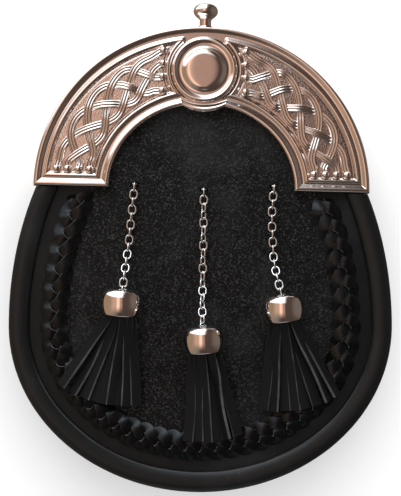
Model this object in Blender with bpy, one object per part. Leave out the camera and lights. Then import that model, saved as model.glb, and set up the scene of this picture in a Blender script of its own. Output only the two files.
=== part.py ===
"""A sporran pouch with a cast cantle, three chained tassels and a laced braid.

The pouch lies on its back: the front faces +Z, its top points to +Y, and +X is
to the viewer's right. Lengths are in metres. While it is built, the pouch's
widest line is y = 0; the last step moves the middle of its footprint there.
"""
from math import acos, asin, ceil, cos, degrees, pi, radians, sin, sqrt, tan

import bmesh
import bpy
from mathutils import Matrix, Vector

MM = 0.001
GAP = 0.3 * MM  # kept between pieces that touch
UP = Vector((0.0, 0.0, 1.0))

# Leather pouch, seen from the front
POUCH_HALF_WIDTH = 84.7 * MM
POUCH_BELOW = 73.5 * MM  # widest line to the bottom
POUCH_ABOVE = 119.0 * MM  # half height of the upper ellipse, whose top the cantle replaces
RIM_WIDTH = 9.3 * MM
RIM_COVER = 2.0 * MM  # how far the rim reaches round the panel's edge
RIM_OVERRUN = 8.0 * MM  # how far it is drawn past the cantle's base before it is trimmed
OUTLINE_POINTS = 24

# Levels above the surface that the pouch lies on
LEATHER = 2.0 * MM
REAR_RECESS = 6.5 * MM  # rear rim to the back panel, room for the belt loops
FRONT_FACE = 26.0 * MM
RIM_RISE = 3.6 * MM
RIM_TURN = 0.6 * MM  # how far a rim stands into the pouch
BACK_INNER = REAR_RECESS + LEATHER
FRONT_INNER = FRONT_FACE - LEATHER

GUSSET_INSET = 3.0 * MM
GUSSET_BOW = 2.5 * MM
GUSSET_OVERRUN = 12.0 * MM  # reach inside the metal frame
GUSSET_STATIONS = 20

# Laced braid on the front panel
BRAID_WIDTH = 14.0 * MM
BRAID_INSET = 20.3 * MM
BRAID_PITCH = 8.2 * MM
BRAID_LOW = 1.3 * MM
BRAID_HIGH = 2.9 * MM
BRAID_VEE = 4.2 * MM  # how far a chevron's point runs ahead of its arms
BRAID_EDGE = 0.45  # height of its edges, as a share of its middle
BRAID_OVERRUN = 22.0 * MM  # how far it is drawn past the cantle's base before it is trimmed
BRAID_PATH_POINTS = 200

# Cast cantle, in its own plane: the middle of its base is the origin
CANTLE_BASE = 59.8 * MM
CANTLE_SHIFT = 0.5 * MM
CANTLE_TILT = radians(1.4)  # it is set clockwise on the leather
CANTLE_HALF_WIDTH = 73.5 * MM
CANTLE_HEIGHT = 70.8 * MM
ARCH_HALF_WIDTH = 40.5 * MM
ARCH_HEIGHT = 37.0 * MM
FIELD_LEVEL = 30.0 * MM
PLATE_UNDER = 28.3 * MM
FRAME_SPLIT = 17.0 * MM  # where the front skirt meets the rear frame
WALL = 1.6 * MM
PANEL_INSET = 5.0 * MM  # leather inside the cantle's edge
PANEL_TOP_STATIONS = 14

# Its relief
OUTER_FRAME = 4.6 * MM
INNER_FRAME = 5.7 * MM
BOSS_HEIGHT = 52.1 * MM
LOBE_RADIUS = 18.5 * MM
SIDE_ARC_RADIUS = 16.0 * MM
BEAD_RISE = 0.9 * MM
BEAD_HALF_WIDTH = 0.9 * MM
BASE_BARS = (1.6 * MM, 4.8 * MM)
KNOT_START = 7.6 * MM  # terminals above the base
KNOT_END = 18.0 * MM  # terminals beside the boss
KNOT_REACH = 6.9 * MM
KNOT_MIDDLE = -0.7 * MM
KNOT_CROSSINGS = (-0.12, 0.11, 0.315, 0.54, 0.74, 0.88)  # shares at which strands cross in the middle
KNOT_LAST_TURN = 2.62 * pi  # the strands' phase at the boss
KNOT_STATIONS = 10
BASE_BALLS = (1.8 * MM, -7.8 * MM, -3.0 * MM, 6.4 * MM)  # where each strand's terminal lies
BOSS_BALLS = (-3.0 * MM, -8.8 * MM, 2.4 * MM, 7.8 * MM)
BALL_PULL = 0.1  # stretch over which a strand bends to its terminal
STRAND_WIDTH = 3.3 * MM
STRAND_RISE = 1.3 * MM
STRAND_SINK = 0.6 * MM
STRAND_LIFT = 0.35 * MM

# Catch knob on the cantle's top edge, a body of turning about its own axis
KNOB_LEVEL = 23.8 * MM
KNOB_TOP = 82.2 * MM
STEM_RADIUS = 2.55 * MM
COLLAR_HEIGHT = 1.2 * MM

# Rear frame
LEDGE_WIDTH = 8.0 * MM
LEDGE_TOP = REAR_RECESS - GAP
REAR_STATIONS = 16

# Belt loops behind the back panel
LOOP_WIDTH = 18.0 * MM
LOOP_SPAN = 30.0 * MM
LOOP_PAD = 9.0 * MM
LOOP_THICKNESS = 1.5 * MM
LOOP_X = 42.0 * MM
LOOP_Y = 29.0 * MM

# Chains
LINK_LENGTH = 4.9 * MM
LINK_WIDTH = 4.0 * MM
LINK_WIRE = 0.85 * MM
LINK_PITCH = LINK_LENGTH - 2 * LINK_WIRE + 0.12 * MM
LINK_SIDES = 10
WIRE_SIDES = 5
LINK_BITE = 0.1 * MM  # how deep touching wires are joined
CHAIN_LEVEL = LINK_WIDTH / 2 + GAP
CHAIN_RISE = 20.0 * MM  # stretch over which a chain rises to its cap
CHAIN_IN_CAP = 1.0 * MM
STAPLE_HALF = 1.2 * MM
STAPLE_SPLAY = 3.6 * MM
SLOT_LENGTH = 3.9 * MM
SLOT_WIDTH = 1.5 * MM

# Tassel caps and strips
CAP_RADIUS = 9.25 * MM
CAP_HALF = 5.8 * MM
CAP_HOLE = 2.5 * MM
CAP_STEPS = 12
HEAD_RADIUS = 6.7 * MM
STRIPS = 7
STRIP_THICKNESS = 1.1 * MM
STRIP_GATHERED = 3.25 * MM
STRIP_WIDTH = 4.4 * MM
STRIP_REACH = 45.3 * MM
STRIP_END_LEVEL = BRAID_HIGH + GAP + STRIP_THICKNESS / 2
STRIP_STAGGER = 0.42 * MM

# Each tassel: its side, the chain's top and way points (x, y), the cap's middle and lean, how far each
# link is turned against the last, and the fan's two angles, counted from straight down and positive
# to the right
TASSELS = {
    "left": {
        "chain": ((-28.8, 62.2), (-29.9, 50.7), (-31.2, 37.4), (-32.4, 26.6)),
        "cap": (-33.9, 10.8), "lean": -5.0, "twist": 90, "fan": (-39.1, 10.3),
    },
    "middle": {
        "chain": ((1.6, 59.8), (1.4, 37.4), (1.1, 23.8), (1.0, 14.0)),
        "cap": (1.4, -5.1), "lean": 5.0, "twist": 60, "fan": (-11.3, 22.7),
    },
    "right": {
        "chain": ((32.4, 61.3), (31.5, 49.3), (31.8, 38.0), (32.5, 26.4)),
        "cap": (35.8, 8.4), "lean": 8.0, "twist": 90, "fan": (-12.3, 34.1),
    },
}

# Finishes: colour, roughness, metallic
FINISHES = {
    "smooth_leather": ((0.018, 0.017, 0.017), 0.42, 0.0),
    "braid_leather": ((0.015, 0.015, 0.015), 0.4, 0.0),
    "strip_leather": ((0.012, 0.012, 0.012), 0.65, 0.0),
    "cast_metal": ((0.55, 0.48, 0.44), 0.25, 1.0),
    "polished_metal": ((0.72, 0.70, 0.68), 0.08, 1.0),
    "chain_metal": ((0.62, 0.61, 0.60), 0.2, 1.0),
}


# ---------------------------------------------------------------- shapes

def finish(name):
    """The material of that name, made on first use."""
    material = bpy.data.materials.get(name)
    if material is None:
        colour, roughness, metallic = FINISHES[name]
        material = bpy.data.materials.new(name)
        material.use_nodes = True
        shader = material.node_tree.nodes["Principled BSDF"]
        shader.inputs["Base Color"].default_value = (*colour, 1.0)
        shader.inputs["Roughness"].default_value = roughness
        shader.inputs["Metallic"].default_value = metallic
    return material


def made(name, shape, material=None):
    """An object from a bmesh, its faces turned outwards."""
    bmesh.ops.recalc_face_normals(shape, faces=shape.faces)
    mesh = bpy.data.meshes.new(name)
    shape.to_mesh(mesh)
    shape.free()
    thing = bpy.data.objects.new(name, mesh)
    bpy.context.collection.objects.link(thing)
    if material:
        mesh.materials.append(finish(material))
    return thing


def lofted(name, rings, material=None):
    """A closed solid through rings of points, each ring in the same order."""
    shape = bmesh.new()
    start = shape.faces.new([shape.verts.new(point) for point in rings[0]])
    end = start
    for ring in rings[1:]:
        grown = bmesh.ops.extrude_face_region(shape, geom=[end])["geom"]
        if end is not start:
            bmesh.ops.delete(shape, geom=[end], context="FACES_ONLY")
        end = next(item for item in grown if isinstance(item, bmesh.types.BMFace))
        for vertex, point in zip(end.verts, ring):
            vertex.co = point
    return made(name, shape, material)


def raised(points, level):
    """The same points at one level."""
    return [Vector((point[0], point[1], level)) for point in points]


def extruded(name, outline, low, high, material=None):
    """A flat outline given a thickness along Z."""
    return lofted(name, [raised(outline, low), raised(outline, high)], material)


def turned(name, profile, steps, material=None, hollow=False):
    """A profile of (radius, height) turned about Z; a hollow one is a closed loop off the axis."""
    shape = bmesh.new()
    points = [shape.verts.new((radius, 0.0, height)) for radius, height in profile]
    pairs = list(zip(points, points[1:]))
    if hollow:
        pairs.append((points[-1], points[0]))
    edges = [shape.edges.new(pair) for pair in pairs]
    bmesh.ops.spin(shape, geom=points + edges, cent=(0, 0, 0), axis=UP, angle=2 * pi, steps=steps,
                   use_merge=True)
    bmesh.ops.remove_doubles(shape, verts=shape.verts, dist=0.00001)
    return made(name, shape, material)


def box(name, corner, opposite):
    outline = [(corner[0], corner[1]), (opposite[0], corner[1]),
               (opposite[0], opposite[1]), (corner[0], opposite[1])]
    return extruded(name, outline, corner[2], opposite[2])


def apply_boolean(thing, tool, operation):
    modifier = thing.modifiers.new(operation, "BOOLEAN")
    modifier.operation = operation
    modifier.object = tool
    bpy.context.view_layer.update()
    evaluated = thing.evaluated_get(bpy.context.evaluated_depsgraph_get())
    result = bpy.data.meshes.new_from_object(evaluated)
    thing.modifiers.remove(modifier)
    thing.data = result
    bpy.data.objects.remove(tool)


def fuse(thing, tools):
    for tool in tools:
        apply_boolean(thing, tool, "UNION")
    return thing


def cut(thing, tools):
    for tool in tools:
        apply_boolean(thing, tool, "DIFFERENCE")
    return thing


def smoothed(thing, angle=35):
    thing.data.shade_smooth()
    thing.data.set_sharp_from_angle(angle=radians(angle))
    return thing


def blend(low, high, share):
    return low + (high - low) * share


def steps_between(low, high, count):
    """count + 1 values from low to high."""
    return [blend(low, high, index / count) for index in range(count + 1)]


def curve_through(points, spacing):
    """Points about that far apart on a smooth curve through the given ones."""
    padded = [2 * points[0] - points[1], *points, 2 * points[-1] - points[-2]]
    path = []
    for before, start, end, after in zip(padded, padded[1:], padded[2:], padded[3:]):
        pieces = max(2, ceil((end - start).length / spacing))
        for share in steps_between(0.0, 1.0, pieces)[:-1]:
            leave = (end - before) / 2
            arrive = (after - start) / 2
            eased = 3 * share**2 - 2 * share**3
            point = blend(start, end, eased)
            point += leave * (share**3 - 2 * share**2 + share)
            point += arrive * (share**3 - share**2)
            path.append(point)
    return [*path, points[-1]]


def walked(path, distance):
    """The point that far along a path, and the path's direction there."""
    for start, end in zip(path, path[1:]):
        length = (end - start).length
        if distance <= length:
            break
        distance -= length
    direction = (end - start).normalized()
    return start + direction * distance, direction


def stepped(path, start, pitch):
    """Spots on a path whose straight distance to the last one is the pitch, with their directions."""
    spots = [walked(path, start)]
    distance = start
    while distance < path_length(path):
        distance += 0.02 * MM
        spot = walked(path, distance)
        if (spot[0] - spots[-1][0]).length >= pitch:
            spots.append(spot)
    return spots


def path_length(path):
    return sum((end - start).length for start, end in zip(path, path[1:]))


# ---------------------------------------------------------------- pouch

def pouch_edge(angle, inset=0.0):
    """The pouch's outline at an angle (0 right, 90 degrees up), moved inwards."""
    height = POUCH_ABOVE if sin(angle) > 0 else POUCH_BELOW
    edge = Vector((POUCH_HALF_WIDTH * cos(angle), height * sin(angle)))
    inwards = -Vector((height * cos(angle), POUCH_HALF_WIDTH * sin(angle))).normalized()
    return edge + inset * inwards


def side_angle(height):
    """The angle at which the pouch's side reaches a height over the widest line."""
    return asin(height / POUCH_ABOVE)


def round_the_pouch(top, count):
    """Angles from the left side at a height, past the bottom, to the right side."""
    rise = side_angle(top)
    return steps_between(pi - rise, 2 * pi + rise, count)


def cantle_place():
    """The cantle's own axes: its origin is the middle of its base."""
    tilt = Matrix.Rotation(-CANTLE_TILT, 4, "Z")
    return Matrix.Translation((CANTLE_SHIFT, CANTLE_BASE, 0)) @ tilt


def base_line(x):
    """Height of the cantle's base over the widest line, at one x."""
    return CANTLE_BASE - tan(CANTLE_TILT) * (x - CANTLE_SHIFT)


def above_base():
    """A cutter over everything above the cantle's base line."""
    cutter = box("above_base", (-0.1, -GAP, -0.01), (0.1, 0.05, 0.06))
    cutter.data.transform(cantle_place())
    return cutter


def panel_outline():
    """The leather's outline: the pouch up to the cantle, then the arch inside the cantle's edge."""
    left = side_angle(base_line(-CANTLE_HALF_WIDTH) - GAP)
    right = side_angle(base_line(CANTLE_HALF_WIDTH) - GAP)
    angles = steps_between(pi - left, 2 * pi + right, OUTLINE_POINTS)
    below = [pouch_edge(angle, RIM_COVER) for angle in angles]
    inner = cantle_place()
    above = []
    for turn in steps_between(radians(88), radians(-88), PANEL_TOP_STATIONS):
        point = inner @ Vector((*arch_edge(turn, PANEL_INSET), 0.0))
        above.append(point.xy)
    return below + above


def rim(name, section):
    """A rolled edge round the pouch, from a section of (inset, level) points, ended at the cantle."""
    rings = []
    for angle in round_the_pouch(CANTLE_BASE + RIM_OVERRUN, OUTLINE_POINTS):
        rings.append([Vector((*pouch_edge(angle, inset), level)) for inset, level in section])
    return cut(lofted(name, rings), [above_base()])


def front_panel():
    """Front leather: a flat wall with a raised rolled rim and a slot for each chain's staple."""
    top = FRONT_FACE
    section = [(0.7 * MM, FRONT_INNER - RIM_TURN), (0.0, top), (1.2 * MM, top + 2.7 * MM),
               (3.8 * MM, top + RIM_RISE), (6.8 * MM, top + 2.9 * MM),
               (RIM_WIDTH, top - 0.5 * MM), (RIM_WIDTH - 0.8 * MM, FRONT_INNER - RIM_TURN)]
    panel = extruded("front_panel", panel_outline(), FRONT_INNER, FRONT_FACE, "smooth_leather")
    fuse(panel, [rim("front_rim", section)])
    slots = []
    for tassel in TASSELS.values():
        x, y = (value * MM for value in tassel["chain"][0])
        slots.append(box("slot", (x - SLOT_LENGTH / 2, y - SLOT_WIDTH / 2, FRONT_INNER - MM),
                         (x + SLOT_LENGTH / 2, y + SLOT_WIDTH / 2, FRONT_FACE + MM)))
    return smoothed(cut(panel, slots), 50)


def back_panel():
    """Back leather, its rim standing to the rear so that the belt loops clear what it lies on."""
    section = [(0.7 * MM, BACK_INNER + RIM_TURN), (0.0, 1.8 * MM), (1.6 * MM, 0.0), (7.6 * MM, 0.0),
               (RIM_WIDTH, 1.8 * MM), (RIM_WIDTH - 0.5 * MM, BACK_INNER + RIM_TURN)]
    panel = extruded("back_panel", panel_outline(), REAR_RECESS, BACK_INNER, "smooth_leather")
    return smoothed(fuse(panel, [rim("rear_rim", section)]), 50)


def gusset():
    """The leather strip between the panels, bowed inwards, its ends inside the metal frame."""
    low = BACK_INNER + RIM_TURN + GAP
    high = FRONT_INNER - RIM_TURN - GAP
    middle = (low + high) / 2
    outer = GUSSET_INSET
    bowed = GUSSET_INSET + GUSSET_BOW
    section = [(outer, low), (bowed, middle), (outer, high),
               (outer + LEATHER, high), (bowed + LEATHER, middle), (outer + LEATHER, low)]
    rings = []
    for angle in round_the_pouch(CANTLE_BASE + GUSSET_OVERRUN, GUSSET_STATIONS):
        rings.append([Vector((*pouch_edge(angle, inset), level)) for inset, level in section])
    return smoothed(lofted("gusset", rings, "smooth_leather"), 50)


def braid():
    """The laced braid: one band whose chevrons overlap like scales, all pointing one way."""
    angles = round_the_pouch(CANTLE_BASE + BRAID_OVERRUN, BRAID_PATH_POINTS)
    path = [Vector((*pouch_edge(angle, BRAID_INSET), 0.0)) for angle in angles]
    rings = []
    for index in range(1, int(path_length(path) / BRAID_PITCH)):
        for offset, level in ((0.04, BRAID_LOW), (0.96, BRAID_HIGH)):
            ring = []
            for side in (-1, 0, 1):
                point, direction = walked(path, (index + offset) * BRAID_PITCH - BRAID_VEE * abs(side))
                across = direction.cross(UP) * side * BRAID_WIDTH / 2
                rise = GAP + level * (BRAID_EDGE if side else 1.0)
                ring.append(point + across + UP * (FRONT_FACE + rise))
            ring += raised([ring[1]], FRONT_FACE + GAP)
            rings.append(ring)
    band = lofted("braid", rings, "braid_leather")
    return cut(band, [above_base()])


# ---------------------------------------------------------------- cantle

def arch_inner(turn):
    """The arch's inner edge, with the round lobe below the boss."""
    x = ARCH_HALF_WIDTH * sin(turn)
    y = ARCH_HEIGHT * cos(turn)
    if abs(x) < LOBE_RADIUS:
        y = min(y, BOSS_HEIGHT - sqrt(LOBE_RADIUS**2 - x**2))
    return Vector((x, y))


def arch_width(turn):
    outer = Vector((CANTLE_HALF_WIDTH * sin(turn), CANTLE_HEIGHT * cos(turn)))
    return (arch_inner(turn) - outer).length


def arch_edge(turn, inset=0.0):
    """A point of the arch: turn 0 is its top, 90 degrees its right end; inset from its outer edge."""
    outer = Vector((CANTLE_HALF_WIDTH * sin(turn), CANTLE_HEIGHT * cos(turn)))
    return outer + (arch_inner(turn) - outer).normalized() * inset


def arch_turns():
    """Turns from the left end to the right end, close together round the lobe's corners."""
    half = [90.0, 78.0, 67.0, 56.0, 45.0, 34.0, 24.0, 15.2, 14.0, 7.5]
    turns = [-angle for angle in half] + [0.0] + half[::-1]
    return [radians(angle) for angle in turns]


def arch_section(turn):
    """The cast wall's section at a turn: (inset, level) points round its skirt, relief and lip."""
    width = arch_width(turn)
    framed = degrees(abs(turn))
    outer_bead = BEAD_RISE if framed > 8 else 0.15 * MM
    inner_bead = BEAD_RISE if framed > 15 else 0.15 * MM
    field = 0.0 if framed > 15 else 0.1 * MM
    top = FIELD_LEVEL
    return [(0.0, FRAME_SPLIT), (0.0, top - 0.4 * MM), (1.1 * MM, top + 1.1 * MM),
            (2.6 * MM, top + 0.2 * MM), (OUTER_FRAME, top + outer_bead), (5.6 * MM, top + field),
            (width - 6.7 * MM, top + field), (width - INNER_FRAME, top + inner_bead),
            (width - 3.6 * MM, top + 0.2 * MM), (width - 1.2 * MM, top + 1.0 * MM),
            (width, top - 0.4 * MM), (width, FRONT_FACE + GAP),
            (width - WALL, FRONT_FACE + GAP), (width - WALL, PLATE_UNDER),
            (WALL, PLATE_UNDER), (WALL, FRAME_SPLIT)]


def base_ends():
    """The wall and the two raised bars that close the cantle at each end of its base."""
    pieces = []
    for side in (-1, 1):
        near = side * (ARCH_HALF_WIDTH + 0.5 * MM)
        far = side * (CANTLE_HALF_WIDTH - 0.5 * MM)
        left, right = min(near, far), max(near, far)
        pieces.append(box("end_wall", (left, 0.15 * MM, FRONT_FACE + GAP),
                          (right, WALL, FIELD_LEVEL - 0.1 * MM)))
        for bar in BASE_BARS:
            shrink = bar + MM - BASE_BARS[0]
            low = FIELD_LEVEL - MM
            high = FIELD_LEVEL + BEAD_RISE
            section = [(bar - BEAD_HALF_WIDTH, low), (bar, high), (bar + BEAD_HALF_WIDTH, low)]
            ends = (left + shrink, right - shrink)
            pieces.append(lofted("bar", [[Vector((x, y, z)) for y, z in section] for x in ends]))
    return pieces


def side_arcs():
    """The raised arc that frames each knot beside the boss."""
    pieces = []
    for side in (-1, 1):
        rings = []
        for angle in steps_between(radians(-40), radians(53), 7):
            outwards = Vector((side * cos(angle), sin(angle)))
            ring = []
            for offset, rise in ((-BEAD_HALF_WIDTH, -MM), (0.0, BEAD_RISE), (BEAD_HALF_WIDTH, -MM)):
                point = outwards * (SIDE_ARC_RADIUS + offset)
                ring.append(Vector((point.x, BOSS_HEIGHT + point.y, FIELD_LEVEL + rise)))
            rings.append(ring)
        pieces.append(lofted("side_arc", rings))
    return pieces


def knot_point(side, share, reach):
    """A point of one knot panel: share runs from the base to the boss, reach from inside to outside."""
    field_middle = 16.0 * MM
    half_x = CANTLE_HALF_WIDTH - field_middle + reach
    half_y = CANTLE_HEIGHT - field_middle + reach
    start = acos(KNOT_START / half_y)
    end = asin(KNOT_END / half_x)
    return arch_edge(side * blend(start, end, share), field_middle - reach)


def eased(value, low, high):
    """0 below low, 1 above high, and smooth between."""
    share = min(max((value - low) / (high - low), 0.0), 1.0)
    return share * share * (3 - 2 * share)


def knot_turn(share):
    """How far the plait has turned: a quarter between two crossings in the panel's middle."""
    turn = 0.0
    for low, high in zip(KNOT_CROSSINGS, KNOT_CROSSINGS[1:]):
        turn += min(max((share - low) / (high - low), 0.0), 1.0) * pi / 2
    return turn + eased(share, KNOT_CROSSINGS[-1], 1.0) * (KNOT_LAST_TURN - turn)


def strand_reach(strand, share):
    """Where a strand lies across the panel, and how high it passes over or under."""
    turn = sum(knot_turn(share + shift) for shift in (-0.06, -0.03, 0.0, 0.03, 0.06)) / 5
    phase = turn + strand * pi / 2
    weave = cos(4 * turn) * sin(phase) / max(abs(sin(phase)), 0.7)
    reach = KNOT_MIDDLE + KNOT_REACH * cos(phase)
    reach = blend(BASE_BALLS[strand], reach, eased(share, 0.0, BALL_PULL))
    return blend(BOSS_BALLS[strand], reach, eased(1 - share, 0.0, BALL_PULL)), weave


def strand_stations():
    """Shares along a strand, with a short one at each end for its ball terminal."""
    return [0.0, 0.02, *steps_between(0.055, 0.945, KNOT_STATIONS), 0.98, 1.0]


def knot_strand(side, strand):
    """One strand of a knot: a raised ridge that weaves over and under, swollen at its ends."""
    rings = []
    for share in strand_stations():
        reach, weave = strand_reach(strand, share)
        here = knot_point(side, share, reach)
        near = knot_point(side, share + 0.005, strand_reach(strand, share + 0.005)[0])
        along = (near - here).normalized()
        across = Vector((along.y, -along.x))
        swollen = share in (0.02, 0.98)
        half = STRAND_WIDTH * (0.85 if swollen else 0.62)
        top = STRAND_RISE + (STRAND_LIFT if swollen else STRAND_LIFT * weave)
        foot = FIELD_LEVEL - STRAND_SINK
        rings.append([Vector((*(here - across * half), foot)), Vector((*here, FIELD_LEVEL + top)),
                      Vector((*(here + across * half), foot))])
    return lofted("strand", rings)


def bored(radius):
    """A cutter along the knob's axis, through the cantle's skirt."""
    shape = bmesh.new()
    bmesh.ops.create_cone(shape, cap_ends=True, segments=12, radius1=radius, radius2=radius, depth=8 * MM)
    bmesh.ops.rotate(shape, verts=shape.verts, matrix=Matrix.Rotation(pi / 2, 3, "X"))
    bmesh.ops.translate(shape, verts=shape.verts, vec=(0, CANTLE_HEIGHT, KNOB_LEVEL))
    return made("bore", shape)


def cantle():
    """The cast front frame: skirt, beaded edges, knotwork and lobe in one solid."""
    rings = []
    for turn in arch_turns():
        rings.append([Vector((*arch_edge(turn, inset), level)) for inset, level in arch_section(turn)])
    casting = lofted("cantle", rings, "cast_metal")
    pieces = base_ends() + side_arcs()
    for side in (-1, 1):
        for strand in range(4):
            pieces.append(knot_strand(side, strand))
    fuse(casting, pieces)
    return smoothed(cut(casting, [bored(STEM_RADIUS + GAP)]), 30)


def centre_boss():
    """The turned medallion on the cantle: a flat dome in a dish with a rolled edge."""
    profile = [(0.0, 2.6), (5.0, 2.5), (7.9, 2.1), (9.8, 0.75), (11.4, 0.75), (13.0, 1.7),
               (14.5, 0.6), (14.5, 0.0), (0.0, 0.0)]
    boss = turned("centre_boss", [(radius * MM, height * MM) for radius, height in profile], 16,
                  "polished_metal")
    boss.location = (0, BOSS_HEIGHT, FIELD_LEVEL + 0.1 * MM + GAP)
    return smoothed(boss)


def catch_collar():
    """The flared ring on the cantle's edge that guides the knob's stem."""
    bore = STEM_RADIUS + GAP
    profile = [(bore, 0.0), (3.7 * MM, 0.0), (3.25 * MM, COLLAR_HEIGHT), (bore, COLLAR_HEIGHT)]
    collar = turned("catch_collar", profile, 12, "polished_metal", hollow=True)
    collar.rotation_euler = (-pi / 2, 0, 0)
    collar.location = (0, CANTLE_HEIGHT + GAP, KNOB_LEVEL)
    return smoothed(collar)


def catch_knob():
    """The catch's press knob: a round head on a stem that slides through the collar."""
    profile = [(0.0, 0.0), (3.3, -0.2), (4.8, -1.3), (5.45, -3.0), (4.9, -4.6), (3.2, -6.1),
               (2.55, -7.0), (2.55, -12.6), (0.0, -12.6)]
    knob = turned("catch_knob", [(radius * MM, height * MM) for radius, height in profile], 12,
                  "polished_metal")
    knob.rotation_euler = (-pi / 2, 0, 0)
    knob.location = (0, KNOB_TOP, KNOB_LEVEL)
    return smoothed(knob)


def rear_frame():
    """The plain metal half frame behind the cantle, with a ledge that carries the back panel."""
    high = FRAME_SPLIT - GAP
    section = [(0.0, 0.0), (0.0, high), (WALL, high), (WALL, LEDGE_TOP), (LEDGE_WIDTH, LEDGE_TOP),
               (LEDGE_WIDTH, LEDGE_TOP - WALL), (WALL, LEDGE_TOP - WALL), (WALL, 0.0)]
    rings = []
    for turn in steps_between(radians(-90), radians(90), REAR_STATIONS):
        rings.append([Vector((*arch_edge(turn, inset), level)) for inset, level in section])
    return smoothed(lofted("rear_frame", rings, "cast_metal"), 50)


# ---------------------------------------------------------------- belt loops

def belt_loop(name, x):
    """A leather loop behind the back panel: two stitched pads and a standing bridge."""
    half = LOOP_SPAN / 2
    end = half + LOOP_PAD
    pad_high = REAR_RECESS - GAP
    pad_low = pad_high - LOOP_THICKNESS
    low = 0.2 * MM
    high = low + LOOP_THICKNESS
    slope = 1.4 * MM
    side = [(-end, pad_high), (-half, pad_high), (slope - half, high), (half - slope, high),
            (half, pad_high), (end, pad_high), (end, pad_low), (half + slope, pad_low),
            (half, low), (-half, low), (-half - slope, pad_low), (-end, pad_low)]
    rings = [[Vector((x + offset, LOOP_Y + along, level)) for along, level in side]
             for offset in (-LOOP_WIDTH / 2, LOOP_WIDTH / 2)]
    return lofted(name, rings, "smooth_leather")


# ---------------------------------------------------------------- tassels

def link():
    """One oval link in the XY plane, long along Y."""
    shape = bmesh.new()
    radius = (LINK_WIDTH - LINK_WIRE) / 2
    stretch = (LINK_LENGTH - LINK_WIRE) / 2 - radius * cos(pi / LINK_SIDES)
    upright = Matrix.Rotation(pi / 2, 4, "X") @ Matrix.Rotation(pi / 2, 4, "Z")
    stand = Matrix.Translation((radius, 0, 0)) @ upright
    wire = bmesh.ops.create_circle(shape, segments=WIRE_SIDES, radius=LINK_WIRE / 2, matrix=stand)
    edges = list(shape.edges)
    bmesh.ops.spin(shape, geom=wire["verts"] + edges, cent=(0, 0, 0), axis=UP, angle=2 * pi,
                   steps=LINK_SIDES, use_merge=True)
    bmesh.ops.remove_doubles(shape, verts=shape.verts, dist=0.00001)
    for vertex in shape.verts:
        if abs(vertex.co.y) > LINK_WIRE / 2:
            vertex.co.y += stretch if vertex.co.y > 0 else -stretch
    bmesh.ops.recalc_face_normals(shape, faces=shape.faces)
    mesh = bpy.data.meshes.new("link")
    shape.to_mesh(mesh)
    shape.free()
    return mesh


def lying_along(direction, roll, spot):
    """Places something long along Y at a spot, rolled about its own length."""
    across = direction.cross(UP).normalized()
    normal = across.cross(direction)
    turn = Matrix((across, direction, normal)).transposed().to_4x4()
    return Matrix.Translation(spot) @ turn @ Matrix.Rotation(roll, 4, "Y")


def cap_axes(tassel):
    """A cap's middle, its direction down the strips and its direction to the right."""
    lean = radians(tassel["lean"])
    x, y = (value * MM for value in tassel["cap"])
    centre = Vector((x, y, FRONT_FACE + GAP + CAP_RADIUS))
    return centre, Vector((sin(lean), -cos(lean), 0)), Vector((cos(lean), sin(lean), 0))


def chain_path(tassel):
    """From the staple's bridge, along the panel, rising into the cap."""
    centre, down, _ = cap_axes(tassel)
    entry = centre - down * CAP_HALF
    points = [Vector((x * MM, y * MM, 0)) for x, y in tassel["chain"]]
    points += [Vector((*entry.xy, 0)), Vector((*(centre - down * (CAP_HALF - CHAIN_IN_CAP)).xy, 0))]
    path = curve_through(points, 0.7 * MM)
    for point in path:
        share = min(max((point.y - entry.y) / CHAIN_RISE, 0.0), 1.0)
        point.z = blend(centre.z, FRONT_FACE + CHAIN_LEVEL, 3 * share**2 - 2 * share**3)
    return path


def staple(spot):
    """The wire staple that holds a chain: its legs go through the leather and splay behind it."""
    back = FRONT_INNER - GAP - LINK_WIRE / 2
    top = FRONT_FACE + CHAIN_LEVEL
    corners = [(-STAPLE_SPLAY, back), (-STAPLE_HALF, back), (-STAPLE_HALF, top), (STAPLE_HALF, top),
               (STAPLE_HALF, back), (STAPLE_SPLAY, back)]
    curve = bpy.data.curves.new("staple", "CURVE")
    curve.dimensions = "3D"
    curve.bevel_depth = LINK_WIRE / 2
    curve.bevel_resolution = 1
    curve.use_fill_caps = True
    spline = curve.splines.new("POLY")
    spline.points.add(len(corners) - 1)
    for point, (x, z) in zip(spline.points, corners):
        point.co = (spot.x + x, spot.y, z, 1.0)
    wire = bpy.data.objects.new("staple", curve)
    bpy.context.collection.objects.link(wire)
    bpy.context.view_layer.update()
    mesh = bpy.data.meshes.new_from_object(wire.evaluated_get(bpy.context.evaluated_depsgraph_get()))
    bpy.data.objects.remove(wire)
    shape = bmesh.new()
    shape.from_mesh(mesh)
    bmesh.ops.remove_doubles(shape, verts=shape.verts, dist=0.00001)
    return made("staple", shape)


def chain(name, tassel):
    """Interlocked links, each rolled against the last, on a staple."""
    path = chain_path(tassel)
    pattern = link()
    halves = [bmesh.new(), bmesh.new()]
    first_link = LINK_LENGTH / 2 - 1.5 * LINK_WIRE + LINK_BITE
    for index, (spot, direction) in enumerate(stepped(path, first_link, LINK_PITCH)):
        roll = pi / 2 if index == 0 else pi + radians(3 + tassel["twist"] * (index - 1))
        half = halves[index % 2]
        first = len(half.verts)
        half.from_mesh(pattern)
        half.verts.ensure_lookup_table()
        bmesh.ops.transform(half, matrix=lying_along(direction, roll, spot), verts=half.verts[first:])
    links = made(name, halves[0], "chain_metal")
    fuse(links, [made("other_links", halves[1]), staple(path[0])])
    return smoothed(links, 80)


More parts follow.
